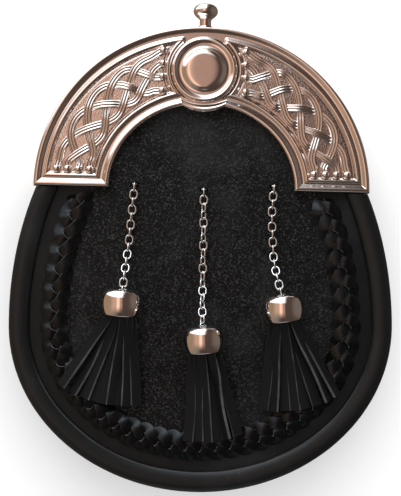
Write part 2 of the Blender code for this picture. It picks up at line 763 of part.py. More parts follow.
def tassel_cap(name, tassel):
    """The rounded drum that gathers the strips, with a flat top and a hole for the chain."""
    profile = [(CAP_HOLE, 5.8 * MM), (5.4 * MM, 5.8 * MM), (7.8 * MM, 4.9 * MM), (9.0 * MM, 2.7 * MM),
               (CAP_RADIUS, -0.6 * MM), (8.1 * MM, -CAP_HALF),
               (7.3 * MM, -CAP_HALF), (7.3 * MM, 3.9 * MM), (CAP_HOLE, 4.8 * MM)]
    cap = turned(name, profile, CAP_STEPS, "polished_metal", hollow=True)
    centre, down, right = cap_axes(tassel)
    cap.matrix_world = Matrix.Translation(centre) @ Matrix((-right, UP, -down)).transposed().to_4x4()
    return smoothed(cap)


def strip(tassel, index):
    """One leather strip, from the tassel's head out over the panel."""
    centre, down, right = cap_axes(tassel)
    share = index / (STRIPS - 1)
    order = (index * 4) % STRIPS
    across = blend(-4.1 * MM, 4.1 * MM, share) * right
    lift = (order / (STRIPS - 1) - 0.5) * 5.0 * MM
    heading = radians(blend(*tassel["fan"], share))
    reach = Vector((sin(heading), -cos(heading), 0))
    end = centre + reach * STRIP_REACH
    end.z = FRONT_FACE + STRIP_END_LEVEL + order * STRIP_STAGGER
    inside = centre + across + down * (1.0 + 0.15 * index) * MM + UP * lift
    lip = centre + across + down * 6.6 * MM + UP * lift
    middle = blend(lip, end, 0.42)
    middle.z = blend(lip.z, end.z, 0.72)
    spine = [inside, lip, middle, end]
    widths = [STRIP_GATHERED, STRIP_GATHERED, STRIP_WIDTH, STRIP_WIDTH]
    rings = []
    for number, (point, width) in enumerate(zip(spine, widths)):
        direction = down if number < 2 else (end - lip)
        sideways = Vector((-direction.y, direction.x, 0)).normalized() * width / 2
        thick = UP * STRIP_THICKNESS / 2
        rings.append([point - sideways - thick, point + sideways - thick, point + sideways + thick,
                      point - sideways + thick])
    return lofted("strip", rings)


def tassel_strips(name, tassel):
    """The head inside the cap, fused with its fan of strips."""
    centre, down, right = cap_axes(tassel)
    profile = [(0.0, -0.4 * MM), (HEAD_RADIUS, -0.4 * MM), (HEAD_RADIUS, -4.4 * MM), (0.0, -4.4 * MM)]
    head = turned(name, profile, 10, "strip_leather")
    head.data.transform(Matrix.Translation(centre) @ Matrix((-right, UP, -down)).transposed().to_4x4())
    return fuse(head, [strip(tassel, index) for index in range(STRIPS)])


# ---------------------------------------------------------------- assembly

def set_on_cantle(pieces):
    """Hangs the metal pieces on the cantle's own axes."""
    axes = bpy.data.objects.new("cantle_axes", None)
    bpy.context.collection.objects.link(axes)
    axes.matrix_world = cantle_place()
    for piece in pieces:
        piece.parent = axes


def centre_on_footprint():
    """Moves everything so that the middle of the footprint is the origin."""
    bpy.context.view_layer.update()
    corners = [thing.matrix_world @ vertex.co for thing in bpy.data.objects if thing.type == "MESH"
               for vertex in thing.data.vertices]
    middle = Vector([(max(axis) + min(axis)) / 2 for axis in zip(*corners)])
    for thing in bpy.data.objects:
        if thing.parent is None:
            thing.matrix_world = Matrix.Translation((-middle.x, -middle.y, 0)) @ thing.matrix_world


def main():
    for thing in list(bpy.data.objects):
        bpy.data.objects.remove(thing)
    front_panel()
    back_panel()
    gusset()
    braid()
    set_on_cantle([cantle(), centre_boss(), catch_collar(), catch_knob(), rear_frame()])
    belt_loop("belt_loop_left", -LOOP_X)
    belt_loop("belt_loop_right", LOOP_X)
    for side, tassel in TASSELS.items():
        chain(f"chain_{side}", tassel)
        tassel_cap(f"cap_{side}", tassel)
        tassel_strips(f"tassel_{side}", tassel)
    centre_on_footprint()


main()
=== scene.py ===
"""Dresses the sporran pouch: leather, laced braid, cast cantle, chains, caps and tassels.

Lengths are in metres, except in tables of sections and profiles, which are in millimetres. Shapes
are drawn in the pouch's own axes, where the widest line is y = 0, or in the cantle's, where the
middle of its base is the origin, and then set in place.
"""
from math import acos, asin, ceil, cos, pi, radians, sin, sqrt, tan

import bmesh
import bpy
from bpy.props import FloatProperty, FloatVectorProperty, PointerProperty
from mathutils import Matrix, Vector, noise


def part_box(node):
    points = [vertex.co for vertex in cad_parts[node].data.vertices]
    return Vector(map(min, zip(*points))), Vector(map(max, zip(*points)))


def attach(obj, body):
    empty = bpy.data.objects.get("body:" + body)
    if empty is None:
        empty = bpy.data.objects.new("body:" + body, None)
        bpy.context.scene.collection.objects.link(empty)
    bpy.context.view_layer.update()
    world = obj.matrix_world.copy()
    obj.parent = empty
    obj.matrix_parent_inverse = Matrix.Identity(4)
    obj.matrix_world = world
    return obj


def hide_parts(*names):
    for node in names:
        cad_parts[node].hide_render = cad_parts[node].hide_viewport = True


bl_info = {
    "name": "Sporran pouch",
    "version": (1, 0, 0),
    "blender": (4, 5, 0),
    "location": "View3D > Sidebar > Sporran",
    "description": "Leather pouch with a cast cantle, a laced braid and chained tassels",
    "category": "Add Mesh",
}

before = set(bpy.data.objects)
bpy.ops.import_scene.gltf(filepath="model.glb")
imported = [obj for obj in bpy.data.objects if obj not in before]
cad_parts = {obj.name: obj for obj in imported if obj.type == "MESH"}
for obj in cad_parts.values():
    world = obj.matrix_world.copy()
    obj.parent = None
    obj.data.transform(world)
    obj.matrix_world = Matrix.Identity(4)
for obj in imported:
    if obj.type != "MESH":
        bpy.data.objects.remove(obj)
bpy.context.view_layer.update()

MM = 0.001
MERGE = 0.001 * MM         # points closer together than this become one
COOL = (0.76, 0.9, 1.0)    # tint of the leather's sheen, against the warm surroundings
GAP = 0.3 * MM             # air between pieces that don't touch
UP = Vector((0.0, 0.0, 1.0))

# Leather pouch
POUCH_HALF_WIDTH = 84.53 * MM
POUCH_BELOW = 73.5 * MM
POUCH_ABOVE = 119.0 * MM
RIM_COVER = 2.0 * MM
RIM_OVERRUN = 8.0 * MM
LEATHER = 2.0 * MM
REAR_FACE = 6.5 * MM
FRONT_FACE = 26.0 * MM
GUSSET_OVERRUN = 12.0 * MM
RIM_SWAY = 0.35 * MM
GUSSET_SWAY = 0.5 * MM
SWAY_SCALE = 55.0          # sways per metre
FRONT_RIPPLE = 0.18 * MM
BACK_RIPPLE = -0.1 * MM
RIPPLE_SCALE = 42.0        # ripples per metre
PANEL_MIDDLE = Vector((0.0, 12.0 * MM))
PANEL_ARCH_END = radians(88)
CUTTER_DEPTH = 8.0 * MM

# Laced braid
BRAID_INSET = 20.3 * MM
BRAID_LEVEL = FRONT_FACE + 1.75 * MM
LACE_REACH = 4.1 * MM
LACE_SLANT = 0.35  # how far the inner loops lie forward along the braid, per length across
LACE_LIFT = 1.0 * MM
LACE_DIVE = 0.9 * MM
LACE_THICKNESS = 1.0 * MM
LACE_ROLL = radians(20)
LACE_TUCK = 2.4 * MM       # how far the braid's ends dive
LACE_TUCK_SPAN = (-7.0 * MM, -3.0 * MM)    # where they do, from the cantle's base
BRAID_START = 2.4 * MM
BRAID_OVERRUN = 22.0 * MM

# Cast cantle
CANTLE_BASE = 59.8 * MM
CANTLE_SHIFT = 0.5 * MM
CANTLE_TILT = radians(1.4)
CANTLE_HALF_WIDTH = 73.5 * MM
CANTLE_HEIGHT = 70.8 * MM
ARCH_HALF_WIDTH = 40.5 * MM
ARCH_HEIGHT = 37.0 * MM
FIELD_LEVEL = 30.0 * MM
PLATE_UNDER = 28.3 * MM
FRAME_SPLIT = 17.0 * MM
WALL = 1.6 * MM
PANEL_INSET = 5.0 * MM
OUTER_FRAME = 5.2 * MM
INNER_FRAME = 5.8 * MM
BASE_FRAME = 4.9 * MM
EDGE_CREST = 1.4 * MM
EDGE_FOOT = 3.6 * MM
EDGE_DROP = 0.4 * MM       # how far the rolled edge falls below the field at the rim
NARROW_CREST = 0.5 * MM    # the crest and foot where the arch rises and the edge is narrower
NARROW_FOOT = 2.8 * MM
NARROWING = (20 * MM, 65 * MM)
BEAD_HALF = 1.6 * MM
GROOVE_HALF = 0.7 * MM
GROOVE_DEPTH = 0.15 * MM
PLAIN_BAND = (8.6 * MM, 10.0 * MM)    # where the plain band above the boss ends, from the middle
PLAIN_RISE = 5 * MM                   # how gently it starts above the boss's middle
STIPPLED_FROM = (0.8 * MM, 1.3 * MM)  # how far inside the bead the stippled ground starts
BOSS_HEIGHT = 52.1 * MM
LOBE_RADIUS = 18.5 * MM
SIDE_ARC_RADIUS = 16.0 * MM
KNOT_START = 7.6 * MM
KNOT_END = 18.0 * MM
KNOT_REACH = 6.9 * MM
KNOT_MIDDLE = -0.7 * MM
KNOT_CROSSINGS = (-0.12, 0.11, 0.315, 0.54, 0.74, 0.88)
KNOT_LAST_TURN = 2.62 * pi
KNOT_SOFTENING = (-0.06, -0.03, 0.0, 0.03, 0.06)    # shares over which the turn is averaged
BASE_BALLS = (1.8 * MM, -7.8 * MM, -3.0 * MM, 6.4 * MM)
BOSS_BALLS = (-3.0 * MM, -8.8 * MM, 2.4 * MM, 7.8 * MM)
BALL_PULL = 0.1
STRAND_HALF = 1.85 * MM
STRAND_LIFT = 0.4 * MM
BALL_RADIUS = 1.75 * MM
BALL_LIFT = 0.35 * MM
FIELD_MIDDLE = 16.0 * MM  # inset of the line that a knot follows
BEAD_ZONE = 7.4 * MM      # width at each edge that is meshed finely
BOSS_RADIUS = 14.5 * MM
LEDGE_WIDTH = 8.0 * MM

# Catch
KNOB_LEVEL = 23.8 * MM
KNOB_TOP = 82.18 * MM
STEM_RADIUS = 2.55 * MM
STEM_LENGTH = 12.6 * MM

# Belt loops
LOOP_WIDTH = 18.0 * MM
LOOP_SPAN = 30.0 * MM
LOOP_PAD = 9.0 * MM
LOOP_THICKNESS = 1.5 * MM
LOOP_X = 42.0 * MM
LOOP_Y = 29.0 * MM
LOOP_LEAN = 0.7 * MM       # half the length of the slope between pad and bridge
LOOP_ROUNDING = 0.4 * MM
BRIDGE_LEVEL = 0.2 * MM
STITCH_PITCH = 2.6 * MM
STITCH_SIZE = (0.36, 0.3 * MM, 0.22 * MM)    # half length, as a share of the pitch, width, height

# Chains
LINK_LENGTH = 4.9 * MM
LINK_WIDTH = 4.0 * MM
LINK_WIRE = 0.85 * MM
LINK_PITCH = LINK_LENGTH - 2 * LINK_WIRE + 0.12 * MM
LINK_BITE = 0.1 * MM
CHAIN_LEVEL = LINK_WIDTH / 2 + GAP
CHAIN_RISE = 20.0 * MM
CHAIN_IN_CAP = 1.0 * MM
STAPLE_HALF = 0.95 * MM
SLOT_LENGTH = 3.9 * MM
SLOT_WIDTH = 1.5 * MM
STAPLE_SPLAY = 3.6 * MM
STAPLE_BEND = 0.8 * MM

# Caps and strips
CAP_RADIUS = 9.24 * MM
CAP_HALF = 5.8 * MM
STRIP_REACH = 45.3 * MM
STRIP_THICKNESS = 1.3 * MM
STRIP_END_LEVEL = 29.85 * MM
STRIP_FAN = 1.6 * MM       # how far the highest strip's end lies above the lowest one's
STRIP_SPREAD = 5.0 * MM    # how far the outer strips leave the cap from its middle
STRIP_STACK = 7.0 * MM     # how far the highest strip leaves the cap above the lowest
HEAD_RADIUS = 6.6 * MM
HEAD_SPAN = (-0.4 * MM, -4.4 * MM)

# Fineness of the meshes: how many steps go round or along each shape, or how long a step is
PANEL_RINGS = 56
PANEL_EDGE_STEPS = 200
PANEL_ARCH_STEPS = 90
RIM_STEPS = 220
GUSSET_STEPS = 200
BRAID_STEPS = 900
STRAND_STEPS = 170
REAR_FRAME_STEPS = 180
BORE_STEPS = 48
BOSS_STEPS = 120
CATCH_STEPS = 64
CAP_STEPS = 96
HEAD_STEPS = 32
LINK_STEPS = 22
LINK_WIRE_STEPS = 9
STAPLE_WIRE_STEPS = 12
CHAIN_STEP = 0.7 * MM
STRIP_STEP = 1.6 * MM

# Each tassel, in millimetres and degrees: way points of its chain, its cap's middle and lean, the
# twist from link to link, and its strips. A strip's row holds its heading from straight down, its
# roll, its width and how high it lies in the fan, from 0 to 1.
TASSELS = {
    "left": {
        "chain": ((-28.8, 62.2), (-29.9, 50.7), (-31.2, 37.4), (-32.4, 26.6)),
        "cap": (-33.9, 10.8), "lean": -5.0, "twist": 90,
        "strips": (
            (-36.2, -38, 4.6, 0.7), (-28.6, -40, 4.6, 0.2), (-21.5, -30, 4.8, 0.6),
            (-15.7, -12, 4.8, 0.1), (-10.8, -8, 5.0, 0.5), (-6.4, 28, 4.8, 0.9),
            (-1.4, 6, 5.0, 0.3), (2.1, 30, 5.0, 0.8), (7.5, 26, 4.8, 0.4),
        ),
    },
    "middle": {
        "chain": ((1.6, 59.8), (1.4, 37.4), (1.1, 23.8), (1.0, 14.0)),
        "cap": (1.4, -5.1), "lean": 5.0, "twist": 60,
        "strips": (
            (-8.6, -22, 4.8, 0.3), (-2.9, -24, 5.0, 0.6), (2.2, -24, 4.8, 0.9), (7.2, 4, 5.4, 0.4),
            (13.3, -58, 4.6, 1.0), (19.5, 24, 4.8, 0.2), (-6.0, 0, 5.0, 0.0), (10.9, 0, 5.0, 0.0),
        ),
    },
    "right": {
        "chain": ((32.4, 61.3), (31.5, 49.3), (31.8, 38.0), (32.5, 26.4)),
        "cap": (35.8, 8.4), "lean": 8.0, "twist": 90,
        "strips": (
            (-10.4, -26, 4.6, 0.2), (-5.0, -40, 4.8, 0.8), (1.7, -22, 4.8, 0.5),
            (6.9, -20, 5.0, 0.9), (12.7, 22, 5.4, 0.6), (19.7, 20, 5.0, 0.3), (26.1, 52, 4.6, 0.9),
            (31.7, 50, 4.6, 0.5),
        ),
    },
}


# ---------------------------------------------------------------- settings

def length_setting(name, description, millimetres):
    return FloatProperty(name=name, description=description, default=millimetres * MM,
                         unit="LENGTH", min=0.0, precision=4)


def colour_setting(name, description, colour):
    return FloatVectorProperty(name=name, description=description, default=colour, size=3,
                               subtype="COLOR", min=0.0, max=1.0)


class LeatherSettings(bpy.types.PropertyGroup):
    """Sizes and colours of the leather."""

    rim_rise: length_setting("Rim rise", "How far the rolled rim stands over the panel", 3.6)
    lace_width: length_setting("Lace width", "Width of each lace in the braid", 5.0)
    side_plait: length_setting("Side plait", "Length of a turn of the braid at the sides", 24.8)
    base_plait: length_setting("Base plait", "Length of a turn of the braid at the bottom", 19.4)
    black: colour_setting("Black", "Finished leather", (0.0059, 0.0062, 0.0062))
    pebble: colour_setting("Pebble", "Pebbled leather between its specks", (0.0021, 0.0021, 0.0021))
    ink: colour_setting("Ink", "Matt strips", (0.0068, 0.0069, 0.0072))
    # Scuffs on the smooth leather, and painted glints on the pebbled grain's tops.
    speck: colour_setting("Speck", "Tops of the pebbled grain", (0.030, 0.029, 0.028))
    worn: colour_setting("Worn", "Leather where it is rubbed", (0.0148, 0.0150, 0.0148))
    # Raw cut edges of laces and strips, and also the colour of the painted highlight line on the
    # rim's inner edge.
    cut_edge: colour_setting("Cut edge", "Raw cut edges of laces and strips", (0.14, 0.137, 0.14))


class MetalSettings(bpy.types.PropertyGroup):
    """Sizes and colours of the metal."""

    edge_bead: length_setting("Edge bead", "Height of the rolled edge of the cantle", 1.1)
    frame_bead: length_setting("Frame bead", "Height of the bead round each knot", 0.95)
    strand_rise: length_setting("Strand rise", "Height of the knot's strands", 1.05)
    plating: colour_setting("Plating", "Bright plated casting", (0.83, 0.79, 0.77))
    recess: colour_setting("Recess", "Stippled ground between the strands", (0.62, 0.56, 0.53))
    wire: colour_setting("Wire", "Chain links", (0.80, 0.87, 0.91))
    shine: colour_setting("Shine", "Polished boss, knob and rear frame", (0.95, 0.89, 0.86))


class StudioSettings(bpy.types.PropertyGroup):
    """Camera and light."""

    camera_height: length_setting("Camera height", "Camera above the floor", 450.0)
    view_height: length_setting("View height", "Height of the view, at the leather's level", 218.24)
    floor: colour_setting("Floor", "Plain pale floor", (0.9, 0.9, 0.9))


# ---------------------------------------------------------------- places

def pouch_place():
    """The pouch's own axes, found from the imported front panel."""
    low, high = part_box("front_panel")
    return Matrix.Translation(((low.x + high.x) / 2, low.y + POUCH_BELOW, 0))


def cantle_in_pouch():
    tilt = Matrix.Rotation(-CANTLE_TILT, 4, "Z")
    return Matrix.Translation((CANTLE_SHIFT, CANTLE_BASE, 0)) @ tilt


def blend(low, high, share):
    return low + (high - low) * share


def steps_between(low, high, count):
    """count + 1 values from low to high."""
    return [blend(low, high, index / count) for index in range(count + 1)]


def eased(value, low, high):
    """0 below low, 1 above high, and smooth between."""
    share = min(max((value - low) / (high - low), 0.0), 1.0)
    return share * share * (3 - 2 * share)


def humped(value, half):
    """1 at 0, falling smoothly to 0 at half to either side."""
    share = min(abs(value) / half, 1.0)
    return (1 - share * share) ** 2


def curve_through(points, spacing):
    """Points about that far apart on a smooth curve through the given ones."""
    padded = [2 * points[0] - points[1], *points, 2 * points[-1] - points[-2]]
    path = []
    for before, start, end, after in zip(padded, padded[1:], padded[2:], padded[3:]):
        pieces = max(2, ceil((end - start).length / spacing))
        for share in steps_between(0.0, 1.0, pieces)[:-1]:
            leave = (end - before) / 2
            arrive = (after - start) / 2
            point = blend(start, end, 3 * share**2 - 2 * share**3)
            point += leave * (share**3 - 2 * share**2 + share)
            point += arrive * (share**3 - share**2)
            path.append(point)
    return [*path, points[-1]]


def path_length(path):
    return sum((end - start).length for start, end in zip(path, path[1:]))


def walked(path, distance):
    """The point that far along a path, and the path's direction there."""
    for start, end in zip(path, path[1:]):
        length = (end - start).length
        if distance <= length:
            break
        distance -= length
    direction = (end - start).normalized()
    return start + direction * distance, direction


def spaced_spots(path, start, pitch):
    """Spots on a path whose straight distance to the last one is the pitch, with directions."""
    spots = [walked(path, start)]
    distance = start
    whole = path_length(path)
    fine_step = 0.02 * MM
    while distance < whole:
        distance += fine_step
        spot = walked(path, distance)
        if (spot[0] - spots[-1][0]).length >= pitch:
            spots.append(spot)
    return spots


def frames_along(path):
    """Each point of a path with its direction."""
    spots = []
    for index, point in enumerate(path):
        before = path[max(index - 1, 0)]
        after = path[min(index + 1, len(path) - 1)]
        spots.append((point, (after - before).normalized()))
    return spots


# ---------------------------------------------------------------- shapes

def in_mm(table):
    """A table of pairs in millimetres, as pairs in metres."""
    return [(first * MM, second * MM) for first, second in table]


def smooth_profile(way, spacing):
    """A smooth curve through a table of (radius, height)."""
    path = curve_through([Vector(pair) for pair in way], spacing)
    return in_mm((max(point.x, 0.0), point.y) for point in path)


def section_at(spot, across, up, section):
    """The points of a section, set out across and up from a spot."""
    return [spot + across * side + up * lift for side, lift, *_ in section]


def bend(before, corner, after, reach, steps):
    """Points on a smooth bend that cuts a corner."""
    start = corner + (before - corner).normalized() * reach
    end = corner + (after - corner).normalized() * reach
    return [blend(blend(start, corner, share), blend(corner, end, share), share)
            for share in steps_between(0.0, 1.0, steps)]


def rounded(points, radius):
    """A closed outline of 2-D points with its corners rounded."""
    corners = [Vector(point) for point in points]
    outline = []
    for before, corner, after in zip(corners[-1:] + corners, corners, corners[1:] + corners[:1]):
        outline += bend(before, corner, after, radius, 3)
    return outline


def new_shape():
    """An empty mesh whose points carry a mark between 0 and 1 for the materials."""
    shape = bmesh.new()
    shape.verts.layers.float.new("mark")
    return shape


def skin(shape, rings, marks=None, looped=False, capped=True):
    """Adds a closed skin through rings of points: a grid whose points move onto the rings.

    marks is a list of one value for each point of a ring, or a function of a point.
    """
    around = len(rings[0])
    along = len(rings) - 1 + looped
    grid = bmesh.ops.create_grid(shape, x_segments=around, y_segments=along, size=0.5)["verts"]
    layer = shape.verts.layers.float["mark"]
    for number, vertex in enumerate(grid):
        row, column = divmod(number, around + 1)
        column %= around
        vertex.co = rings[row % len(rings)][column]
        if callable(marks):
            vertex[layer] = marks(vertex.co)
        elif marks:
            vertex[layer] = marks[column]
    bmesh.ops.remove_doubles(shape, verts=grid, dist=MERGE)
    if capped and not looped:
        close_holes(shape)
    return shape


def close_holes(shape):
    edges = [edge for edge in shape.edges if edge.is_boundary]
    bmesh.ops.holes_fill(shape, edges=edges, sides=0)


def turned(shape, profile, steps, place, hollow=False):
    """Adds a profile of (radius, height) turned about Z, then set in place."""
    points = [shape.verts.new((radius, 0.0, height)) for radius, height in profile]
    pairs = list(zip(points, points[1:]))
    if hollow:
        pairs.append((points[-1], points[0]))
    edges = [shape.edges.new(pair) for pair in pairs]
    first = len(shape.verts) - len(points)
    bmesh.ops.spin(shape, geom=points + edges, cent=(0, 0, 0), axis=UP, angle=2 * pi, steps=steps,
                   use_merge=True)
    shape.verts.ensure_lookup_table()
    grown = shape.verts[first:]
    bmesh.ops.transform(shape, matrix=place, verts=grown)
    bmesh.ops.remove_doubles(shape, verts=grown, dist=MERGE)
    return shape


def trim_at_cantle(shape, gap=GAP):
    """Cuts away what lies beyond a line just below the cantle's base, and closes the cut."""
    place = cantle_in_pouch()
    bmesh.ops.bisect_plane(shape, geom=[*shape.verts, *shape.edges, *shape.faces], dist=MERGE,
                           plane_co=place @ Vector((0, -gap, 0)),
                           plane_no=(sin(CANTLE_TILT), cos(CANTLE_TILT), 0), clear_outer=True)
    close_holes(shape)


def as_object(name, shape, material=None):
    """The shape as an object of the scene."""
    mesh = bpy.data.meshes.new(name)
    shape.to_mesh(mesh)
    shape.free()
    if material:
        mesh.materials.append(material)
    item = bpy.data.objects.new(name, mesh)
    bpy.context.scene.collection.objects.link(item)
    return item


def finished(name, shape, maker, node, body="pouch", place=None, sharp=40):
    """The shape as a piece of the pouch, with its material and body; its CAD node is hidden."""
    bmesh.ops.recalc_face_normals(shape, faces=shape.faces)
    shape.transform(pouch_place() @ (place or Matrix.Identity(4)))
    piece = as_object(name, shape, material_of(maker))
    piece.data.shade_smooth()
    piece.data.set_sharp_from_angle(angle=radians(sharp))
    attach(piece, body)
    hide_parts(node)
    return piece


# ---------------------------------------------------------------- materials

class Value:
    """A socket in a material; arithmetic with it adds Math nodes."""

    def __init__(self, recipe, socket):
        self.recipe = recipe
        self.socket = socket

    def worked(self, operation, first, second):
        return self.recipe.node("Math", {0: first, 1: second}, operation=operation)

    def __add__(self, other):
        return self.worked("ADD", self, other)

    def __sub__(self, other):
        return self.worked("SUBTRACT", self, other)

    def __rsub__(self, other):
        return self.worked("SUBTRACT", other, self)

    def __mul__(self, other):
        return self.worked("MULTIPLY", self, other)

    __radd__ = __add__
    __rmul__ = __mul__


class Recipe:
    """A material in the making."""

    def __init__(self, name):
        self.material = bpy.data.materials.new(name)
        self.material.use_nodes = True
        self.tree = self.material.node_tree
        self.shader = self.tree.nodes["Principled BSDF"]

    def node(self, kind, sockets, output=0, **settings):
        """Adds a node: its settings first, then the values or links of its sockets."""
        node = self.tree.nodes.new("ShaderNode" + kind)
        for name, value in settings.items():
            setattr(node, name, value)
        for name, value in sockets.items():
            self.feed(node.inputs[name], value)
        return Value(self, node.outputs[output])

    def feed(self, socket, value):
        if isinstance(value, Value):
            self.tree.links.new(value.socket, socket)
        elif socket.type == "RGBA":
            socket.default_value = (*value, 1.0)
        else:
            socket.default_value = value

    def surface(self, **sockets):
        """Sets the shader's sockets; a name's underscores stand for spaces."""
        for name, value in sockets.items():
            self.feed(self.shader.inputs[name.replace("_", " ")], value)
        return self.material

    def position(self):
        return self.node("TexCoord", {}, "Object")

    def part(self, vector, axis):
        """One part of a vector: 0 for x, 1 for y, 2 for z."""
        return self.node("SeparateXYZ", {"Vector": vector}, axis)

    def mark(self):
        return self.node("Attribute", {}, "Fac", attribute_name="mark")

    def stretched(self, scale):
        """Object coordinates with a scale for each axis."""
        return self.node("Mapping", {"Vector": self.position(), "Scale": scale})

    def cloud(self, scale, detail=2.0, roughness=0.5, vector=None):
        """Soft noise between 0 and 1; scale is in blotches per metre."""
        return self.node("TexNoise", {"Vector": vector or self.position(), "Scale": scale,
                                      "Detail": detail, "Roughness": roughness})

    def cells(self, scale, smoothness):
        """Distance inside random cells; scale is in cells per metre."""
        sockets = {"Vector": self.position(), "Scale": scale, "Smoothness": smoothness}
        return self.node("TexVoronoi", sockets, feature="SMOOTH_F1")

    def stepped(self, value, low, high):
        """0 below low, 1 above high, and smooth between."""
        sockets = {"Value": value, "From Min": low, "From Max": high}
        return self.node("MapRange", sockets, interpolation_type="SMOOTHSTEP")

    def colours(self, share, low, high):
        """A mix of two colours."""
        return self.node("Mix", {0: share, 6: low, 7: high}, 2, data_type="RGBA")

    def fade(self, value, start, end, low, high):
        """One colour where the value is below start, another where it is above end."""
        return self.colours(self.stepped(value, start, end), low, high)

    def bump(self, height, distance, strength=1.0, under=None):
        sockets = {"Height": height, "Distance": distance, "Strength": strength}
        if under:
            sockets["Normal"] = under
        return self.node("Bump", sockets)


def finished_leather():
    """Smooth black leather, faintly grained, rubbed paler in patches, and low down painted paler at
    the mark as a highlight.
    """
    look = bpy.context.scene.sporran_leather
    recipe = Recipe("finished_leather")
    patches = recipe.cloud(38.0, 3.0, 0.6)
    grain = recipe.cells(1050.0, 0.6)
    creases = recipe.cloud(1.0, 4.0, 0.6, recipe.stretched((160.0, 420.0, 160.0)))
    colour = recipe.fade(patches, 0.5, 0.78, look.black, look.worn)
    scuffs = recipe.stepped(recipe.cloud(420.0, 3.0, 0.7), 0.6, 0.7)
    colour = recipe.colours(scuffs * recipe.stepped(patches, 0.52, 0.6), colour, look.speck)
    # Painted highlight: low on the pouch the mark takes the pale cut edge colour; on the front rim
    # the mark is its inner edge, so this paints a highlight line there.
    low_down = 1.0 - recipe.stepped(recipe.part(recipe.position(), 1), -75 * MM, -40 * MM)
    painted_highlight_line = recipe.mark() * low_down * (0.1 + 0.7 * patches)
    normal = recipe.bump(creases, 0.12 * MM, 0.5, recipe.bump(grain, 0.05 * MM, 0.55))
    return recipe.surface(Base_Color=recipe.colours(painted_highlight_line, colour, look.cut_edge),
                          Roughness=0.36 + 0.14 * patches, Specular_IOR_Level=0.42,
                          Specular_Tint=COOL, Normal=normal)


def pebbled_leather():
    """The front: pebbled inside the braid, where the mark is 1, with painted glints on the grain,
    and smooth outside it.
    """
    look = bpy.context.scene.sporran_leather
    recipe = Recipe("pebbled_leather")
    mark = recipe.mark()
    patches = recipe.cloud(30.0, 3.0, 0.6)
    pebbles = recipe.cells(1150.0, 0.35)
    fine = recipe.cloud(1250.0, 1.0, 0.5)
    # Painted highlights: pale glints where the fine noise raises the grain, painted into the
    # colour.
    painted_glints = recipe.stepped(fine, 0.5, 0.72) * mark
    grain = 0.35 * recipe.cells(1050.0, 0.6)
    height = grain * (1.0 - mark) + (1.0 - pebbles + 0.5 * fine) * mark
    base = recipe.colours(mark, look.black, look.pebble)
    colour = recipe.fade(patches, 0.45, 0.8, base, look.worn)
    return recipe.surface(Base_Color=recipe.colours(painted_glints, colour, look.speck),
                          Roughness=0.46 + 0.12 * mark - 0.2 * painted_glints, Specular_IOR_Level=0.26,
                          Specular_Tint=COOL, Normal=recipe.bump(height, 0.18 * MM, 0.9))


def lace_leather():
    """Black lace with paler cut edges, where the mark is 1."""
    look = bpy.context.scene.sporran_leather
    recipe = Recipe("lace_leather")
    edge = recipe.mark()
    patches = recipe.cloud(160.0, 3.0, 0.6)
    colour = recipe.fade(patches, 0.5, 0.8, look.pebble, look.black)
    colour = recipe.colours(edge * (0.55 + 0.6 * patches), colour, look.cut_edge)
    folds = recipe.bump(patches, 0.4 * MM, 0.35)
    return recipe.surface(Base_Color=colour, Roughness=0.2 + 0.16 * patches + 0.3 * edge,
                          Specular_IOR_Level=0.36, Specular_Tint=COOL,
                          Normal=recipe.bump(recipe.cells(1500.0, 0.6), 0.05 * MM, 0.5, folds))


def matt_strips():
    """Matt black strips with paler, fibrous cut edges, where the mark is 1."""
    look = bpy.context.scene.sporran_leather
    recipe = Recipe("matt_strips")
    edge = recipe.mark()
    fibres = recipe.cloud(1.0, 3.0, 0.6, recipe.stretched((1500.0, 300.0, 1500.0)))
    patches = recipe.cloud(90.0, 3.0, 0.6)
    colour = recipe.fade(patches, 0.6, 0.9, look.ink, look.black)
    pale = edge * (1.3 * patches - 0.25) * (0.6 + 0.8 * fibres)
    return recipe.surface(Base_Color=recipe.colours(pale, colour, look.cut_edge),
                          Roughness=0.58 + 0.1 * patches + 0.15 * edge, Specular_IOR_Level=0.2,
                          Specular_Tint=COOL, Normal=recipe.bump(fibres, 0.06 * MM, 0.5))


def cast_plating():
    """Bright plated casting; the stippled ground, where the mark is 1, is duller and darker."""
    look = bpy.context.scene.sporran_metal
    recipe = Recipe("cast_plating")
    ground = recipe.mark()
    stipple = recipe.cells(1900.0, 0.3)
    flow = recipe.cloud(260.0, 3.0, 0.55)
    height = stipple * ground * 0.5 + flow * 0.22
    colour = recipe.colours(ground * (0.55 + 0.5 * stipple), look.plating, look.recess)
    return recipe.surface(Base_Color=colour, Metallic=1.0,
                          Roughness=0.12 + 0.06 * flow + 0.08 * ground,
                          Normal=recipe.bump(height, 0.18 * MM, 0.8))


def bright_plating():
    """Smooth polished plating with faint wear."""
    look = bpy.context.scene.sporran_metal
    recipe = Recipe("bright_plating")
    haze = recipe.cloud(420.0, 4.0, 0.65)
    wave = recipe.cloud(120.0, 2.0, 0.5)
    return recipe.surface(Base_Color=recipe.colours(haze, look.plating, look.shine),
                          Metallic=1.0, Roughness=0.05 + 0.07 * haze,
                          Normal=recipe.bump(wave, 0.12 * MM, 0.25))


def wire_plating():
    """Plated chain wire, slightly dull from rubbing."""
    look = bpy.context.scene.sporran_metal
    recipe = Recipe("wire_plating")
    haze = recipe.cloud(700.0, 3.0, 0.6)
    return recipe.surface(Base_Color=recipe.fade(haze, 0.1, 0.4, look.plating, look.wire),
                          Metallic=1.0, Roughness=0.13 + 0.12 * haze)


def material_of(maker):
    """A material, made on first use."""
    return bpy.data.materials.get(maker.__name__) or maker()


# ---------------------------------------------------------------- pouch

